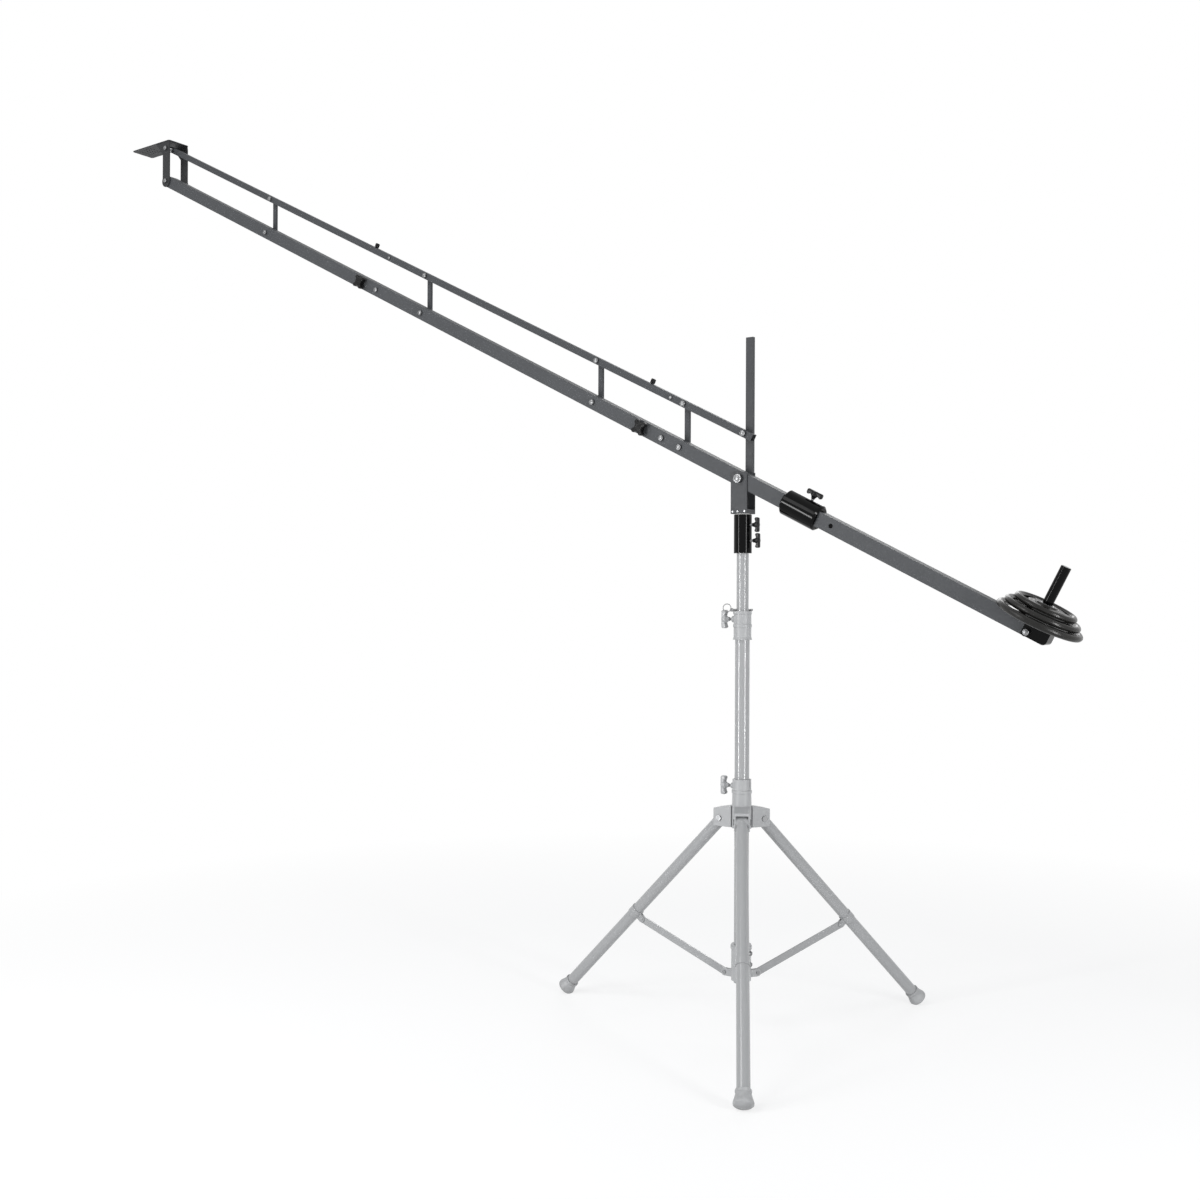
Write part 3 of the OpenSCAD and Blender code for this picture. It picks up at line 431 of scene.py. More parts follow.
TUBE_SILVER = (0.33, 0.335, 0.34)
CAST_SILVER = (0.40, 0.405, 0.41)
BOOM_GREY = (0.072, 0.075, 0.080)
ROD_GREY = (0.062, 0.065, 0.070)
HEAD_GREY = (0.055, 0.057, 0.061)
DECK_GREY = (0.030, 0.031, 0.033)
DEEP_BLACK = (0.002, 0.002, 0.0022)
PLUG_BLACK = (0.003, 0.003, 0.003)
KNOB_BLACK = (0.006, 0.006, 0.0065)
PLATE_BLACK = (0.009, 0.0087, 0.008)
NYLON_WHITE = (0.74, 0.74, 0.71)
ZINC_GREY = (0.24, 0.243, 0.248)
ALLOY_GREY = (0.60, 0.61, 0.62)

GHOST_TUBE = Finish(
    "stand_tube_silver", "ghost_silver", TUBE_SILVER, Grain.ENAMEL,
    roughness=0.16, shift=0.012, gloss=0.7,
)
GHOST_CASTING = Finish(
    "stand_casting_grey", "ghost_casting", CAST_SILVER, Grain.POWDER,
    roughness=0.34, edge=0.0012, shift=0.012, gloss=0.3,
)
GHOST_RUBBER = Finish(
    "stand_foot_rubber", "ghost_rubber", CAST_SILVER, Grain.RUBBER,
    roughness=0.5, edge=0.0012, shift=0.02,
)
GHOST_KNOB = Finish(
    "stand_knob_plastic", "knob_pale", CAST_SILVER, Grain.MOULDED,
    roughness=0.34, edge=0.0012, shift=0.03,
)
BOOM_PAINT = Finish(
    "boom_charcoal", "boom_grey", BOOM_GREY, Grain.POWDER, roughness=0.50, gloss=0.2,
)
ROD_PAINT = Finish(
    "rod_charcoal", "rod_grey", ROD_GREY, Grain.POWDER, roughness=0.50, edge=0.0005, gloss=0.2,
)
HEAD_PAINT = Finish(
    "head_charcoal", "head_grey", HEAD_GREY, Grain.POWDER, roughness=0.44, edge=0.0009, gloss=0.22,
)
# The deck carries a painted highlight along its sharp edges.
DECK_PAINT = Finish(
    "deck_charcoal", "deck_grey", DECK_GREY, Grain.POWDER, roughness=0.48, edge_sheen=0.25, gloss=0.22,
)
SOCKET_ENAMEL = Finish(
    "socket_gloss_black", "socket_black", DEEP_BLACK, Grain.ENAMEL,
    roughness=0.06, edge=0.0012, gloss=0.11,
)
WEIGHT_ENAMEL = Finish(
    "weight_gloss_black", "weight_black", DEEP_BLACK, Grain.ENAMEL,
    roughness=0.06, edge=0.0010, gloss=0.11,
)
HOLDER_ENAMEL = Finish(
    "holder_gloss_black", "holder_black", DEEP_BLACK, Grain.ENAMEL,
    roughness=0.10, edge=0.0010, gloss=0.11,
)
KNOB_PLASTIC = Finish(
    "knob_black_plastic", "knob_black", KNOB_BLACK, Grain.MOULDED,
    roughness=0.30, edge=0.0012, gloss=0.2,
)
PLUG_PLASTIC = Finish(
    "plug_black_plastic", "plug_black", PLUG_BLACK, Grain.MOULDED, roughness=0.50, gloss=0.03,
)
NYLON = Finish(
    "washer_nylon", "washer_nylon", NYLON_WHITE, Grain.MOULDED,
    roughness=0.45, edge=0.0002, shift=0.03,
)
ZINC = Finish(
    "bolt_zinc", "bolt_silver", ZINC_GREY, Grain.BRUSHED, roughness=0.34, metallic=1.0,
)
ALLOY = Finish(
    "alloy_bare", "bare_alloy", ALLOY_GREY, Grain.BRUSHED, roughness=0.36, metallic=1.0, edge=0.0004,
)
PLATE_RUBBER = Finish(
    "plate_black_rubber", "plate_iron", PLATE_BLACK, Grain.RUBBER,
    roughness=0.28, edge=0.0015, shift=0.10, gloss=0.3,
)

NODE_FINISH: dict[Finish, tuple[str, ...]] = {
    GHOST_TUBE: ("leg_1", "leg_2", "leg_3", "brace_1", "brace_2", "brace_3", "column_tube", "riser_tube"),
    GHOST_CASTING: ("leg_hub", "column_bracket", "column_collar"),
    GHOST_RUBBER: ("foot_1", "foot_2", "foot_3"),
    GHOST_KNOB: ("hub_knob", "collar_knob"),
    ZINC: (
        "hub_pins", "bracket_bolts", "lock_pin", "swivel_bolt", "fork_screws", "pivot_bolts", "boom_bolts",
        "holder_bolts", "rod_bolts", "platform_bolts",
    ),
    SOCKET_ENAMEL: ("stand_socket",),
    KNOB_PLASTIC: (
        "socket_knob_upper", "socket_knob_lower", "splice_knob_front", "splice_knob_rear",
        "rod_screw_front", "rod_screw_rear", "counterweight_knob",
    ),
    NYLON: ("swivel_washer", "pivot_washers"),
    HEAD_PAINT: ("fork", "fork_base", "post"),
    BOOM_PAINT: ("boom_front", "boom_middle", "boom_rear"),
    ROD_PAINT: ("rod_front", "rod_middle", "rod_rear", "strut_1", "strut_2", "strut_3", "strut_4"),
    ALLOY: ("boom_splices", "rod_splices", "platform_spacers"),
    PLUG_PLASTIC: ("boom_plug",),
    HOLDER_ENAMEL: ("weight_holder", "weight_pin"),
    DECK_PAINT: ("camera_platform",),
    WEIGHT_ENAMEL: ("counterweight",),
    PLATE_RUBBER: ("plate_large", "plate_medium", "plate_small"),
}


def dress_nodes() -> None:
    """Give every CAD node its finish."""
    for finish, names in NODE_FINISH.items():
        for name in names:
            node = frame["nodes"][name]
            node.data.materials.clear()
            node.data.materials.append(finish.material())


def arc(
    centre: tuple[float, float], radii: tuple[float, float], start: float, end: float, steps: int,
) -> Outline:
    """Return points along a round or oval arc, both ends included.

    Args:
        centre: Centre of the arc.
        radii: Radius along x and along y.
        start: Heading of the first point.
        end: Heading of the last point.
        steps: Steps along the arc.
    """
    turns = [start + (end - start) * k / steps for k in range(steps + 1)]
    return [(centre[0] + radii[0] * math.cos(t), centre[1] + radii[1] * math.sin(t)) for t in turns]


def ring(radius: float, steps: int) -> Outline:
    """Return the points of a circle about the origin."""
    return arc((0, 0), (radius, radius), 0, math.tau, steps)[:-1]


def mesh_of(name: str, bm: bmesh.types.BMesh) -> bpy.types.Mesh:
    """Turn a shape, which is freed, into a mesh."""
    mesh = bpy.data.meshes.new(name)
    bm.to_mesh(mesh)
    bm.free()
    return mesh


def in_scene(name: str, data: bpy.types.ID) -> bpy.types.Object:
    """Put a mesh, lamp or camera into the scene."""
    made = bpy.data.objects.new(name, data)
    bpy.context.scene.collection.objects.link(made)
    return made


def turned(profile: Outline, steps: int = 48) -> bmesh.types.BMesh:
    """Turn a profile about the z axis.

    Args:
        profile: Points as (radius, height), in order along the outline.
        steps: Number of steps round the circle.

    Returns:
        The turned shape.
    """
    bm = bmesh.new()
    points = [bm.verts.new((radius, 0.0, height)) for radius, height in profile]
    lines = [bm.edges.new(pair) for pair in zip(points, points[1:])]
    bmesh.ops.spin(
        bm, geom=[*points, *lines], cent=(0, 0, 0), axis=(0, 0, 1), angle=math.tau, steps=steps,
        use_merge=True, use_duplicate=False,
    )
    bmesh.ops.remove_doubles(bm, verts=bm.verts, dist=MERGE_GAP)
    return bm


def slab(outlines: Sequence[Outline], thickness: float) -> bmesh.types.BMesh:
    """Raise a plate from an outline, with the further outlines as holes in it.

    Args:
        outlines: Closed outlines as (x, y) points, the outer one first.
        thickness: Height of the plate above z = 0.

    Returns:
        The closed plate.
    """
    bm = bmesh.new()
    rims = []
    for outline in outlines:
        points = [bm.verts.new((x, y, 0.0)) for x, y in outline]
        rims += [bm.edges.new(pair) for pair in zip(points, points[1:] + points[:1])]
    bmesh.ops.triangle_fill(bm, edges=rims, use_beauty=True, use_dissolve=True)
    raised = bmesh.ops.extrude_face_region(bm, geom=bm.faces[:])
    tops = [item for item in raised["geom"] if isinstance(item, bmesh.types.BMVert)]
    bmesh.ops.translate(bm, verts=tops, vec=(0, 0, thickness))
    bmesh.ops.recalc_face_normals(bm, faces=bm.faces)
    return bm


def rounded(
    bm: bmesh.types.BMesh, radius: float, segments: int, sharp: float = math.radians(50),
) -> None:
    """Round off the sharp edges of a shape.

    Args:
        bm: The shape.
        radius: Radius of the rounding.
        segments: Faces across the rounding.
        sharp: Least turn of an edge that is rounded.
    """
    edges = [e for e in bm.edges if len(e.link_faces) == 2 and e.calc_face_angle(0.0) > sharp]
    bmesh.ops.bevel(
        bm, geom=edges, offset=radius, offset_type="OFFSET", segments=segments, profile=0.5,
        affect="EDGES", clamp_overlap=True, material=-1,
    )


def merged(parts: Iterable[bmesh.types.BMesh]) -> bmesh.types.BMesh:
    """Gather several shapes into one.

    Args:
        parts: The shapes, which are freed.

    Returns:
        One shape that holds them all.
    """
    whole = bmesh.new()
    for part in parts:
        carrier = mesh_of("carrier", part)
        whole.from_mesh(carrier)
        bpy.data.meshes.remove(carrier)
    return whole


def moved(bm: bmesh.types.BMesh, place: Matrix) -> bmesh.types.BMesh:
    """Move a shape and hand it back."""
    bmesh.ops.transform(bm, matrix=place, verts=bm.verts)
    return bm


@dataclass
class Piece:
    """A finished piece of the scene and what it rides on."""

    name: str
    body: str
    finish: Finish
    stands_for: tuple[str, ...] = ()

    def keep(self, bm: bmesh.types.BMesh, place: Matrix = Matrix()) -> bpy.types.Object:
        """Turn a shape into a piece of the crane.

        Args:
            bm: The shape, which is freed.
            place: Where the shape goes in the row frame.

        Returns:
            The new object, riding on its body.
        """
        moved(bm, place)
        bmesh.ops.remove_doubles(bm, verts=bm.verts, dist=MERGE_GAP)
        bmesh.ops.recalc_face_normals(bm, faces=bm.faces)
        mesh = mesh_of(self.name, bm)
        mesh.shade_smooth()
        mesh.set_sharp_from_angle(angle=SMOOTH_BELOW)
        mesh.materials.append(self.finish.material())
        made = in_scene(self.name, mesh)
        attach(made, self.body)
        if self.stands_for:
            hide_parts(*self.stands_for)
        LOG.info("%s on %s: %d faces", self.name, self.body, len(mesh.polygons))
        return made


@dataclass
class RubberPlates:
    """Three rubber-coated weight plates on the boom's pin."""

    diameters: tuple[float, ...] = (0.216, 0.190, 0.156)
    thicknesses: tuple[float, ...] = (0.017, 0.016, 0.016)
    bore_r: float = 0.014
    bush_wall: float = 0.0028
    hub_wall: float = 0.012
    hub_gap: float = 0.007
    inner_share: float = 0.16
    rim_gap: float = 0.002
    gap: float = 0.0003
    skin: float = 0.0001
    web_share: float = 0.55
    sweep: float = math.radians(68)
    grips: int = 3
    grip_from: float = math.radians(30)
    names: tuple[str, ...] = ("plate_large", "plate_medium", "plate_small")

    def base(self, index: int) -> float:
        """Return the height of a plate's lower face above the boom's line."""
        return LAYOUT.boom_side / 2 + self.gap * (index + 1) + sum(self.thicknesses[:index])

    def place(self, index: int) -> Matrix:
        """Return the frame of a plate: origin in its lower face, on the pin's line."""
        pin_at = LAYOUT.tail_reach + LAYOUT.pin_behind
        return LAYOUT.boom() @ Matrix.Translation((pin_at, 0, self.base(index)))

    def grip(self, start: float, inner: float, outer: float) -> Outline:
        """Outline one curved grip opening with round ends.

        Args:
            start: Heading of the opening's first end.
            inner: Inner radius.
            outer: Outer radius.

        Returns:
            The closed outline.
        """
        middle, half, end = (inner + outer) / 2, (outer - inner) / 2, start + self.sweep
        sides = [
            arc((0, 0), (radius, radius), first, last, 14)
            for radius, first, last in ((outer, start, end), (inner, end, start))
        ]
        ends = [
            arc((middle * math.cos(at), middle * math.sin(at)), (half, half), first, first + math.pi, 10)
            for at, first in ((end, end), (start, start + math.pi))
        ]
        return [*sides[0], *ends[0][1:-1], *sides[1], *ends[1][1:-1]]

    def web(self, index: int) -> bmesh.types.BMesh:
        """Return the flat web with its grip openings and their rounded lips."""
        radius, thick = self.diameters[index] / 2, self.thicknesses[index]
        inner = self.bore_r + self.hub_wall + self.hub_gap + self.inner_share * radius
        outer = radius - thick - self.rim_gap
        starts = [self.grip_from + math.tau * k / self.grips for k in range(self.grips)]
        grips = [self.grip(start, inner, outer) for start in starts]
        bore = ring(self.bore_r + 0.002, 48)
        web = slab([ring(radius - thick / 2, 96), bore, *grips], thick * self.web_share)
        rounded(web, thick * 0.17, 4)
        return moved(web, Matrix.Translation((0, 0, thick * (1 - self.web_share) / 2)))

    def rim(self, index: int) -> bmesh.types.BMesh:
        """Return the thick rim: a rounded bead with a parting line round its edge."""
        radius, bead = self.diameters[index] / 2, self.thicknesses[index] / 2
        profile = arc((radius - bead, bead), (bead - 0.0004, bead - self.skin), 0, math.tau, 28)
        profile[0] = profile[-1] = (radius, bead)
        return turned(profile, 96)

    def hub(self, index: int) -> bmesh.types.BMesh:
        """Return the raised rubber hub with a groove round it."""
        outer = self.bore_r + self.hub_wall
        low, high, lip = self.skin, self.thicknesses[index] - self.skin, 0.0016
        inner = self.bore_r + self.bush_wall - 0.0002
        profile = [
            (inner, low), (outer - lip, low), (outer, low + lip), (outer, high - lip), (outer - lip, high),
            (outer - 0.0042, high), (outer - 0.0048, high - 0.0008), (outer - 0.0058, high - 0.0008),
            (outer - 0.0064, high), (inner, high), (inner, low),
        ]
        return turned(profile, 64)

    def bush(self, index: int) -> bmesh.types.BMesh:
        """Return the steel bush in the bore, chamfered at both ends."""
        thick, inner, outer = self.thicknesses[index], self.bore_r, self.bore_r + self.bush_wall
        low, high, bevel = 0.0, thick, 0.0007
        profile = [
            (inner, low + bevel), (inner + bevel, low), (outer - bevel, low), (outer, low + bevel),
            (outer, high - bevel), (outer - bevel, high), (inner + bevel, high), (inner, high - bevel),
            (inner, low + bevel),
        ]
        return turned(profile, 64)

    def ridges(self, index: int) -> bmesh.types.BMesh:
        """Return the low rings moulded on both faces, between hub and openings."""
        thick = self.thicknesses[index]
        top = thick * (1 + self.web_share) / 2
        centre = self.bore_r + self.hub_wall + 0.0045
        rings = [arc((centre, height), (0.0014, 0.0009), 0, math.tau, 10) for height in (top, thick - top)]
        return merged(turned(profile, 64) for profile in rings)

    def build(self) -> None:
        """Build the three plates and their bushes."""
        for index, name in enumerate(self.names):
            rubber = merged([self.web(index), self.rim(index), self.hub(index), self.ridges(index)])
            Piece(f"{name}_rubber", "plates", PLATE_RUBBER, (name,)).keep(rubber, self.place(index))
            Piece(f"{name}_bush", "plates", ALLOY).keep(self.bush(index), self.place(index))


@dataclass
class LobedKnobs:
    """Four-lobed clamping knobs at the two boom joints."""

    diameter: float = 0.050
    root_share: float = 0.29
    lobe_share: float = 0.135
    flank_share: float = 0.92
    lobe_sweep: float = math.radians(75)
    hollow_share: float = 0.06
    hollow_steps: int = 6
    thick: float = 0.0155
    neck: float = 0.006
    neck_r: float = 0.0098
    boss_r: float = 0.0105
    stem_r: float = 0.0040
    stem_in: float = 0.011
    at: tuple[float, float] = (1.631, 0.359)
    seat: float = 0.0203
    names: tuple[str, ...] = ("splice_knob_front", "splice_knob_rear")

    def outline(self) -> Outline:
        """Return the knob's outline: four full lobes with hollows between them."""
        arm, root = self.diameter / 2, self.diameter * self.root_share
        half = self.diameter * self.lobe_share
        flank, steps = half * self.flank_share, self.hollow_steps
        bend = math.asin(flank / root)
        foot = root * math.cos(bend)
        lobe = [(foot, -flank), (arm - half, -half)]
        lobe += arc((arm - half, 0), (half, half), -self.lobe_sweep, self.lobe_sweep, 10)
        lobe += [(arm - half, half), (foot, flank)]
        for k in range(1, steps):
            angle = bend + (math.pi / 2 - 2 * bend) * k / steps
            hollow = root * (1 - self.hollow_share * math.sin(math.pi * k / steps))
            lobe.append((hollow * math.cos(angle), hollow * math.sin(angle)))
        points = []
        for quarter in range(4):
            heading = math.pi / 4 + quarter * math.pi / 2
            cosine, sine = math.cos(heading), math.sin(heading)
            points += [(x * cosine - y * sine, x * sine + y * cosine) for x, y in lobe]
        return points

    def lobes(self) -> bmesh.types.BMesh:
        """Return the lobed grip with its rounded edges."""
        grip = slab([self.outline()], self.thick)
        rounded(grip, 0.0030, 5, math.radians(60))
        return moved(grip, Matrix.Translation((0, 0, self.neck)))

    def boss(self) -> bmesh.types.BMesh:
        """Return the boss in the middle, with a shallow dish in its end."""
        low, top, outer = self.neck + 0.004, self.neck + self.thick, self.boss_r
        return turned([
            (0.0, low), (outer, low), (outer, top - 0.0012), (outer - 0.0007, top - 0.0003),
            (outer - 0.0017, top), (outer - 0.0025, top - 0.0002), (outer - 0.0031, top - 0.0012),
            (0.0, top - 0.0016),
        ])

    def collar(self) -> bmesh.types.BMesh:
        """Return the neck with a bead where it meets the boom."""
        bead, waist, top = self.neck_r, self.neck_r - 0.0014, self.neck + 0.002
        return turned([
            (0.0, 0.0), (bead - 0.0006, 0.0), (bead, 0.0006), (bead, 0.0022), (waist, 0.0046),
            (waist, top), (0.0, top),
        ])

    def stem(self) -> bmesh.types.BMesh:
        """Return the steel stem that reaches into the boom."""
        low, tip = -self.stem_in, self.stem_r - 0.0006
        return turned([
            (0.0, low), (tip, low), (self.stem_r, low + 0.0008), (self.stem_r, 0.001), (0.0, 0.001),
        ])

    def build(self) -> None:
        """Build both knobs."""
        toward = Matrix.Rotation(math.pi / 2, 4, "X")
        for name, at in zip(self.names, self.at):
            place = LAYOUT.boom() @ Matrix.Translation((-at, -self.seat, 0)) @ toward
            grip = merged([self.lobes(), self.boss(), self.collar()])
            Piece(name + "_grip", name, KNOB_PLASTIC, (name,)).keep(grip, place)
            Piece(name + "_stem", name, ZINC).keep(self.stem(), place)


@dataclass
class BarKnobs:
    """Thumb knobs with a bar across their end, on the stand, the socket and the trim weight.

    The shares are shares of a bar's length.
    """

    stem_r: float = 0.004
    high_share: float = 0.26
    drop_share: float = 0.045
    end_share: float = 0.115
    corner_share: float = 0.10
    arch_share: float = 0.085
    boss_share: float = 0.205
    hub_seat: tuple[float, float, float] = (-0.0203, 0, 0.662)
    collar_seat: tuple[float, float, float] = (-0.023, 0, 1.118)
    socket_seat: float = 0.0168
    socket_drop: float = 0.2023
    socket_knobs: tuple[float, float] = (0.077, 0.034)
    trim_from: float = 0.147
    trim_length: float = 0.112
    trim_share: float = 0.62
    boom_top: float = 0.0203

    def bar(self, length: float, thick: float) -> bmesh.types.BMesh:
        """Return the bar: flat on top, with full ends that turn down towards the stem.

        Args:
            length: Length of the bar.
            thick: Thickness of the bar at its ends.

        Returns:
            The bar, its underside at z = 0 beside the neck.
        """
        high, drop, half = self.high_share * length, self.drop_share * length, length / 2
        end_r, corner = self.end_share * length, self.corner_share * length
        outline = arc((half - end_r, end_r - drop), (end_r, end_r), -math.pi / 2, 0, 8)
        outline += arc((half - corner, high - corner), (corner, corner), 0, math.pi / 2, 6)
        outline += [(-x, y) for x, y in reversed(outline)]
        for k in range(1, 10):
            x = (-half + end_r) * (1 - k / 5)
            arch = self.arch_share * length * (1 - (x / (half - end_r)) ** 2) ** 0.8
            outline.append((x, arch - drop))
        bm = slab([outline], thick)
        moved(bm, Matrix.Translation((0, thick / 2, 0)) @ Matrix.Rotation(math.pi / 2, 4, "X"))
        rounded(bm, thick * 0.30, 4, math.radians(55))
        return bm

    def body(self, length: float, stem: float, neck: float) -> bmesh.types.BMesh:
        """Return the round body: a flared neck that swells into a boss under the bar.

        Args:
            length: Length of the bar, which sets the boss.
            stem: Free length of the stem below the neck.
            neck: Height of the neck.

        Returns:
            The turned body.
        """
        boss, root, high = self.boss_share * length, self.stem_r * 1.24, self.high_share * length
        base = stem + neck
        profile = [(0.0, stem), (root, stem), (root + 0.0006, stem + 0.0006)]
        for k in range(1, 7):
            share = k / 6
            profile.append((root + (boss - root) * share ** 1.6, stem + neck * share))
        profile += [
            (boss, base + high * 0.62), (boss * 0.94, base + high * 0.84),
            (boss * 0.80, base + high * 0.93), (0.0, base + high * 0.93),
        ]
        return turned(profile)

    def stem(self, length: float) -> bmesh.types.BMesh:
        """Return the steel stem with its thread ridges, down from the neck."""
        pitch, height, root = 0.00125, 0.0006, self.stem_r - 0.0005
        profile = [(0.0, 0.0), (root - 0.0004, 0.0)]
        while height < length:
            profile += [(self.stem_r, height), (root, height + pitch / 2)]
            height += pitch
        profile += [(root, length + 0.001), (0.0, length + 0.001)]
        return turned(profile, 32)

    def knob(
        self, name: str, finish: Finish, place: Matrix, length: float, stem: float, neck: float,
        thick: float,
    ) -> None:
        """Build one knob in the place of its CAD node.

        Args:
            name: Name of the node.
            finish: Finish of the moulded grip.
            place: Frame of the knob: tip of the stem at the origin, bar across +z.
            length: Length of the bar.
            stem: Length of the stem below the neck.
            neck: Height of the neck.
            thick: Thickness of the bar.
        """
        bar = moved(self.bar(length, thick), Matrix.Translation((0, 0, stem + neck)))
        grip = merged([bar, self.body(length, stem, neck)])
        body = frame["nodes"][name]["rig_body"]
        Piece(name + "_grip", body, finish, (name,)).keep(grip, place)
        Piece(name + "_stem", body, ZINC).keep(self.stem(stem), place)

    def build(self) -> None:
        """Build the five bar knobs."""
        left = Matrix.Rotation(-math.pi / 2, 4, "Y")
        low = Matrix.Translation(self.hub_seat) @ left
        high = Matrix.Translation(self.collar_seat) @ left
        self.knob("hub_knob", GHOST_KNOB, low, length=0.051, stem=0.020, neck=0.010, thick=0.016)
        self.knob("collar_knob", GHOST_KNOB, high, length=0.051, stem=0.017, neck=0.010, thick=0.016)
        socket_low = LAYOUT.pivot_h - self.socket_drop
        right = Matrix.Rotation(math.pi / 2, 4, "Y")
        names = ("socket_knob_upper", "socket_knob_lower")
        for name, height, stem in zip(names, self.socket_knobs, (0.014, 0.016)):
            place = Matrix.Translation((self.socket_seat, 0, socket_low + height)) @ right
            self.knob(name, KNOB_PLASTIC, place, length=0.040, stem=stem, neck=0.009, thick=0.011)
        at = self.trim_from + self.trim_length * self.trim_share
        place = LAYOUT.boom() @ Matrix.Translation((at, 0, self.boom_top))
        trim = dict(length=0.048, stem=0.019, neck=0.009, thick=0.011)
        self.knob("counterweight_knob", KNOB_PLASTIC, place, **trim)


@dataclass
class ThumbScrews:
    """Knurled thumb screws on top of the levelling rod's two joints."""

    at: tuple[float, float] = (1.595, 0.348)
    rod_side: float = 0.020
    stem_r: float = 0.0025
    stem_in: float = 0.009
    head_r: float = 0.0073
    head_h: float = 0.0120
    collar_r: float = 0.0044
    neck: float = 0.0015
    teeth: int = 20
    tooth_deep: float = 0.0009
    gap: float = 0.0003
    names: tuple[str, ...] = ("rod_screw_front", "rod_screw_rear")

    def head(self) -> bmesh.types.BMesh:
        """Return the knurled head with a rounded crown."""
        outline = []
        for k, (x, y) in enumerate(ring(self.head_r, self.teeth * 4)):
            scale = 1 - self.tooth_deep / self.head_r if k % 4 in (2, 3) else 1.0
            outline.append((scale * x, scale * y))
        knurl = slab([outline], self.head_h)
        rounded(knurl, 0.0005, 2, math.radians(75))
        rise, outer = self.head_h, self.head_r - 0.0010
        crown = turned([
            (0.0, rise - 0.0004), (outer, rise - 0.0004), (outer - 0.0002, rise + 0.0008),
            (outer - 0.0012, rise + 0.0014), (0.0034, rise + 0.0015), (0.0028, rise + 0.0010),
            (0.0, rise + 0.0009),
        ])
        return merged([knurl, crown])

    def collar(self) -> bmesh.types.BMesh:
        """Return the short collar between the rod and the head."""
        outer, top = self.collar_r, self.neck + 0.0004
        return turned([(0.0, 0.0), (outer - 0.0003, 0.0), (outer, 0.0003), (outer, top), (0.0, top)])

    def stem(self) -> bmesh.types.BMesh:
        """Return the steel stem that reaches into the rod."""
        low, outer = -self.stem_in, self.stem_r
        profile = [(0.0, low), (outer - 0.0005, low), (outer, low + 0.0006), (outer, 0.001), (0.0, 0.001)]
        return turned(profile, 32)

    def build(self) -> None:
        """Build both thumb screws."""
        beside = (LAYOUT.boom_side - self.rod_side) / 2
        for name, at in zip(self.names, self.at):
            place = LAYOUT.rod() @ Matrix.Translation((-at, beside, self.rod_side / 2 + self.gap))
            head = moved(self.head(), Matrix.Translation((0, 0, self.neck)))
            Piece(name + "_head", name, KNOB_PLASTIC, (name,)).keep(merged([self.collar(), head]), place)
            Piece(name + "_stem", name, ZINC).keep(self.stem(), place)


@dataclass
class FootBoots:
    """Bell-shaped rubber feet on the legs, cut flat where they stand on the floor."""

    lip_r: float = 0.0200
    sole_r: float = 0.0250
    tube_r: float = 0.0166
    length: float = 0.056
    lip_h: float = 0.007
    sole_back: float = 0.0205
    sole_h: float = 0.006
    dome: float = 0.008
    tube_back: float = 0.030
    floor_gap: float = 0.00002

    def profile(self) -> Outline:
        """Return the foot's outline, from inside the tube's end over the lip to the middle of the sole."""
        full = LAYOUT.leg_length()
        lip, sole = full - self.length, full - self.sole_back
        rim, cone = sole - self.sole_h, lip + self.lip_h
        bore, outer, throat = self.tube_r, self.lip_r, self.lip_r - 0.0012
        points = [
            (0.0, full - self.tube_back), (bore, full - self.tube_back), (bore, lip + 0.0006),
            (bore + 0.0008, lip), (throat, lip), (outer - 0.0003, lip + 0.0004),
            (outer, lip + 0.0013), (outer, cone - 0.0014), (outer - 0.0004, cone - 0.0005),
            (outer - 0.0014, cone + 0.0004),
        ]
        for k in range(1, 9):
            share = k / 8
            flare = (self.sole_r - throat) * share ** 1.3
            points.append((throat + flare, cone + (rim - cone) * share))
        ball = (self.sole_r ** 2 + self.dome ** 2) / (2 * self.dome)
        points += [(self.sole_r, sole - 0.0010), (self.sole_r - 0.0004, sole - 0.0002)]
        for k in range(1, 13):
            radius = (self.sole_r - 0.0012) * (1 - k / 12)
            points.append((radius, sole + self.dome - ball + math.sqrt(ball ** 2 - radius ** 2)))
        return points

    def boot(self, index: int) -> bmesh.types.BMesh:
        """Return the foot of one leg.

        Args:
            index: The leg, from 0 to 2.

        Returns:
            The foot in the row frame, closed where the floor cuts it.
        """
        bm = moved(turned(self.profile(), 64), LAYOUT.leg_line(index))
        whole = [*bm.verts, *bm.edges, *bm.faces]
        cut = bmesh.ops.bisect_plane(
            bm, geom=whole, dist=MERGE_GAP, plane_co=(0, 0, self.floor_gap), plane_no=(0, 0, 1),
            clear_inner=True,
        )
        rim = [item for item in cut["geom_cut"] if isinstance(item, bmesh.types.BMEdge)]
        bmesh.ops.holes_fill(bm, edges=rim, sides=0)
        return bm

    def build(self) -> None:
        """Build the three feet."""
        for index in range(3):
            name = f"foot_{index + 1}"
            Piece(name + "_boot", f"leg_{index + 1}", GHOST_RUBBER, (name,)).keep(self.boot(index))


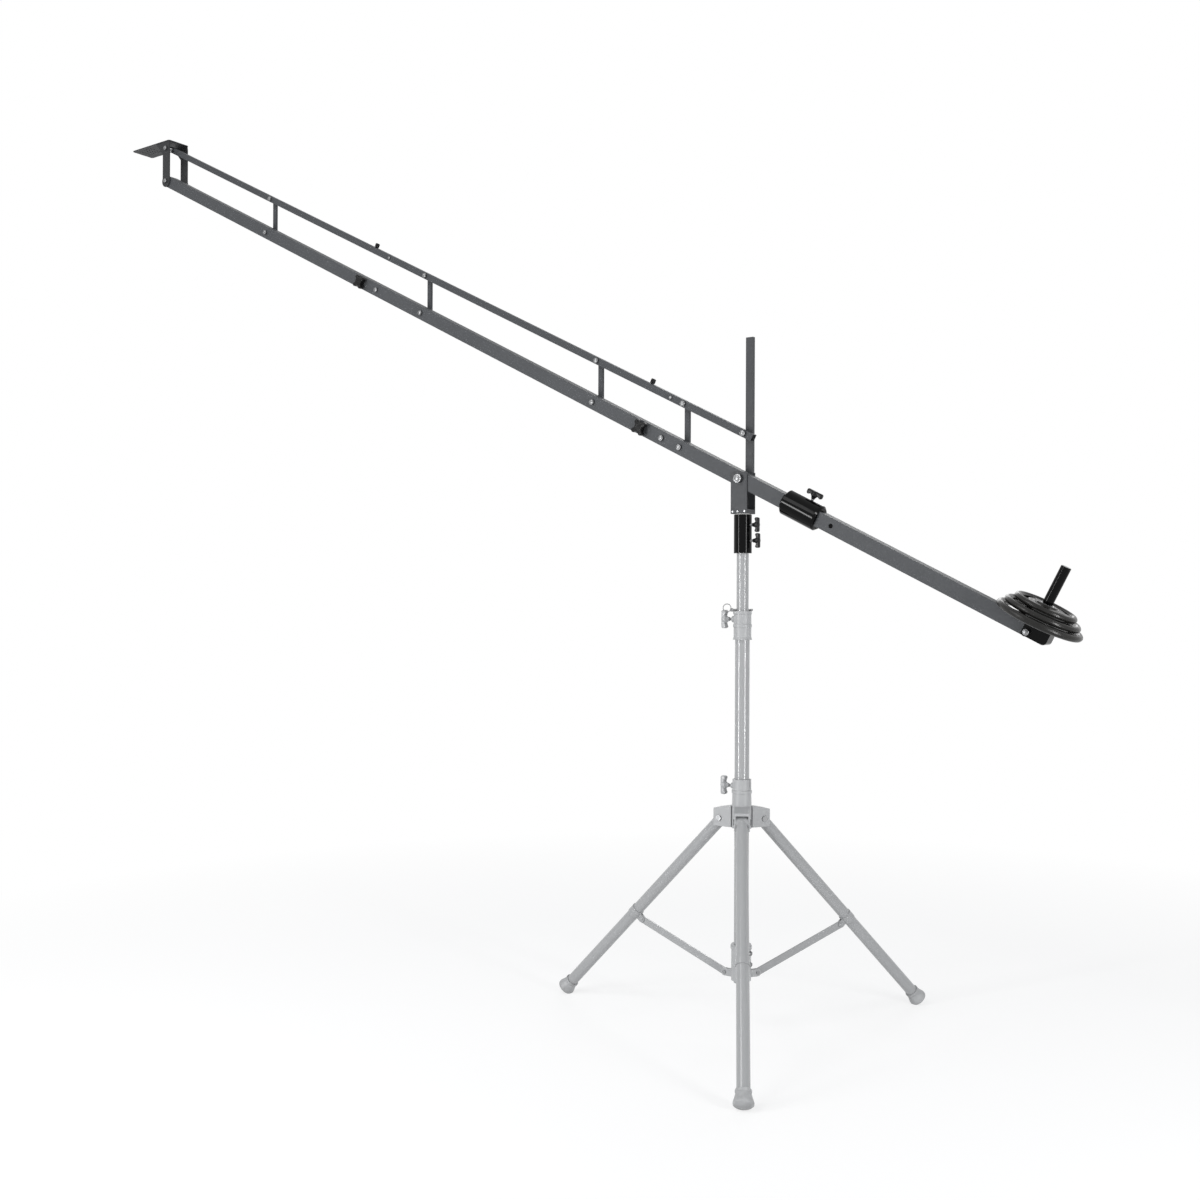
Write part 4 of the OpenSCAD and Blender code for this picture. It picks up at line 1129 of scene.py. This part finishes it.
@dataclass
class DomeHeads:
    """Low domes on the near ends of the cross bolts."""

    share: float = 0.84
    rise: float = 0.34
    sunk: float = 0.0004
    nodes: tuple[str, ...] = ("boom_bolts", "rod_bolts", "pivot_bolts", "platform_bolts", "holder_bolts")

    def bolts(self, name: str) -> list[list[Vector]]:
        """Return the points of each bolt of a CAD node, one list for each bolt.

        Args:
            name: The node.
        """
        bm = bmesh.new()
        bm.from_mesh(frame["nodes"][name].data)
        bmesh.ops.remove_doubles(bm, verts=bm.verts, dist=1e-6)
        left = set(bm.verts)
        found = []
        for start in bm.verts:
            if start not in left:
                continue
            left.remove(start)
            bolt, edge_on = [], [start]
            while edge_on:
                vert = edge_on.pop()
                bolt.append(vert.co.copy())
                linked = {edge.other_vert(vert) for edge in vert.link_edges} & left
                left -= linked
                edge_on += linked
            found.append(bolt)
        bm.free()
        return found

    def dome(self, bolt: Sequence[Vector]) -> bmesh.types.BMesh:
        """Return the dome on the near face of one bolt."""
        near = min(point.y for point in bolt)
        face = [point for point in bolt if point.y < near + self.sunk]
        low = Vector(min(point[axis] for point in face) for axis in range(3))
        high = Vector(max(point[axis] for point in face) for axis in range(3))
        centre = (low + high) / 2
        radius = self.share * max(math.hypot(point.x - centre.x, point.z - centre.z) for point in face)
        profile = [(0.0, -self.sunk), (radius, -self.sunk)]
        profile += arc((0, 0), (radius, self.rise * radius), 0, math.pi / 2, 8)
        place = Matrix.Translation((centre.x, near, centre.z)) @ Matrix.Rotation(math.pi / 2, 4, "X")
        return moved(turned(profile, 40), place)

    def build(self) -> None:
        """Build the domes, one piece for each node of bolts."""
        for name in self.nodes:
            domes = merged(self.dome(bolt) for bolt in self.bolts(name))
            Piece(f"{name}_domes", frame["nodes"][name]["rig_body"], ZINC).keep(domes)


@dataclass(frozen=True)
class Lamp:
    """One soft box of the studio."""

    name: str
    at: tuple[float, float, float]
    aim: tuple[float, float, float]
    size: tuple[float, float]
    power: float

    def hang(self) -> None:
        """Hang the soft box at its place, facing its aim."""
        data = bpy.data.lights.new(self.name, "AREA")
        data.shape = "RECTANGLE"
        data.size, data.size_y = self.size
        data.energy = self.power
        made = in_scene(self.name, data)
        back = Vector(self.at) - Vector(self.aim)
        turn = back.to_track_quat("Z", "Y").to_matrix().to_4x4()
        made.matrix_world = Matrix.Translation(self.at) @ turn


LAMPS = (
    Lamp("key", (-1.6, -3.6, 4.6), (-0.2, 0, 1.2), (2.2, 2.2), power=60.0),
    Lamp("left_strip", (-1.55, -3.28, 1.0), (0, 0, 1.1), (0.3, 2.0), power=58.0),
    Lamp("right_strip", (3.45, -0.98, 1.0), (0, 0, 1.1), (0.3, 2.0), power=58.0),
    Lamp("rim", (-1.5, 4.2, 3.2), (0, 0, 1.2), (2.4, 1.6), power=30.0),
)


@dataclass
class Studio:
    """Floor, light and camera."""

    floor_r: float = 9.0
    floor_white: float = 0.88
    floor_shown: float = 0.36
    floor_lift: float = 0.68
    fade_from: float = 1.4
    fade_to: float = 3.2
    fill: float = 0.46
    fill_colour: Colour = (0.95, 0.97, 1.0)
    lens: float = 40.02
    camera_at: tuple[float, float, float] = (1.81344, -3.18192, 1.15201)
    yaw: float = math.radians(35.78)
    pitch: float = math.radians(0.26)
    roll: float = math.radians(0.26)

    def camera(self) -> None:
        """Set up the camera at the photograph's viewpoint."""
        data = bpy.data.cameras.new("view")
        data.lens = self.lens
        data.sensor_width = 36.0
        data.clip_end = 60.0
        made = in_scene("view", data)
        turn = Matrix.Rotation(self.yaw, 4, "Z") @ Matrix.Rotation(math.pi / 2 + self.pitch, 4, "X")
        made.matrix_world = Matrix.Translation(self.camera_at) @ turn @ Matrix.Rotation(self.roll, 4, "Z")
        bpy.context.scene.camera = made

    def floor(self) -> None:
        """Lay a pale round floor that fades into the backdrop at its rim."""
        bm = bmesh.new()
        bmesh.ops.create_circle(bm, cap_ends=True, segments=96, radius=self.floor_r)
        mesh = mesh_of("studio_floor", bm)
        mesh.materials.append(self.floor_paint())
        made = in_scene("studio_floor", mesh)

    def floor_paint(self) -> bpy.types.Material:
        """Return the floor's white, which still takes the object's shadow."""
        bench = NodeBench(bpy.data.materials.new("studio_floor"), "ShaderNodeOutputMaterial")
        matt = bench.node("ShaderNodeBsdfDiffuse", Color=(*[self.floor_white] * 3, 1.0))
        shown = bench.node("ShaderNodeBsdfDiffuse", Color=(*[self.floor_shown] * 3, 1.0))
        lift = bench.node("ShaderNodeEmission", Strength=self.floor_lift)
        near = bench.node("ShaderNodeAddShader")
        bench.join(lift.outputs[0], near.inputs[0])
        bench.join(shown.outputs[0], near.inputs[1])
        distance = bench.node("ShaderNodeVectorMath", operation="LENGTH")
        bench.join(bench.node("ShaderNodeTexCoord").outputs["Object"], distance.inputs[0])
        far = bench.spread(distance.outputs["Value"], 0.0, 1.0, self.fade_from, self.fade_to)
        white = bench.node("ShaderNodeEmission", Strength=1.0)
        seen = bench.mixed(far, near.outputs[0], white.outputs[0])
        bench.show(bench.mixed(bench.sight(), matt.outputs[0], seen))
        return bench.owner

    def backdrop(self) -> None:
        """Fill the surroundings: white to the eye and in reflections, softer as a light."""
        world = bpy.data.worlds.new("studio")
        bpy.context.scene.world = world
        bench = NodeBench(world, "ShaderNodeOutputWorld")
        soft = bench.node("ShaderNodeBackground", Color=(*self.fill_colour, 1.0), Strength=self.fill)
        white = bench.node("ShaderNodeBackground", Color=(1.0, 1.0, 1.0, 1.0), Strength=1.0)
        bench.show(bench.mixed(bench.sight(), soft.outputs[0], white.outputs[0]))

    def build(self) -> None:
        """Set up the whole studio."""
        bpy.context.scene.view_settings.view_transform = "Standard"
        self.camera()
        self.floor()
        self.backdrop()
        for lamp in LAMPS:
            lamp.hang()


def main() -> None:
    """Build the studio and dress the crane."""
    logging.basicConfig(level=logging.INFO, format="%(name)s: %(message)s")
    Studio().build()
    dress_nodes()
    for assembly in (RubberPlates(), LobedKnobs(), BarKnobs(), ThumbScrews(), FootBoots(), DomeHeads()):
        assembly.build()


if __name__ == "__main__":
    main()
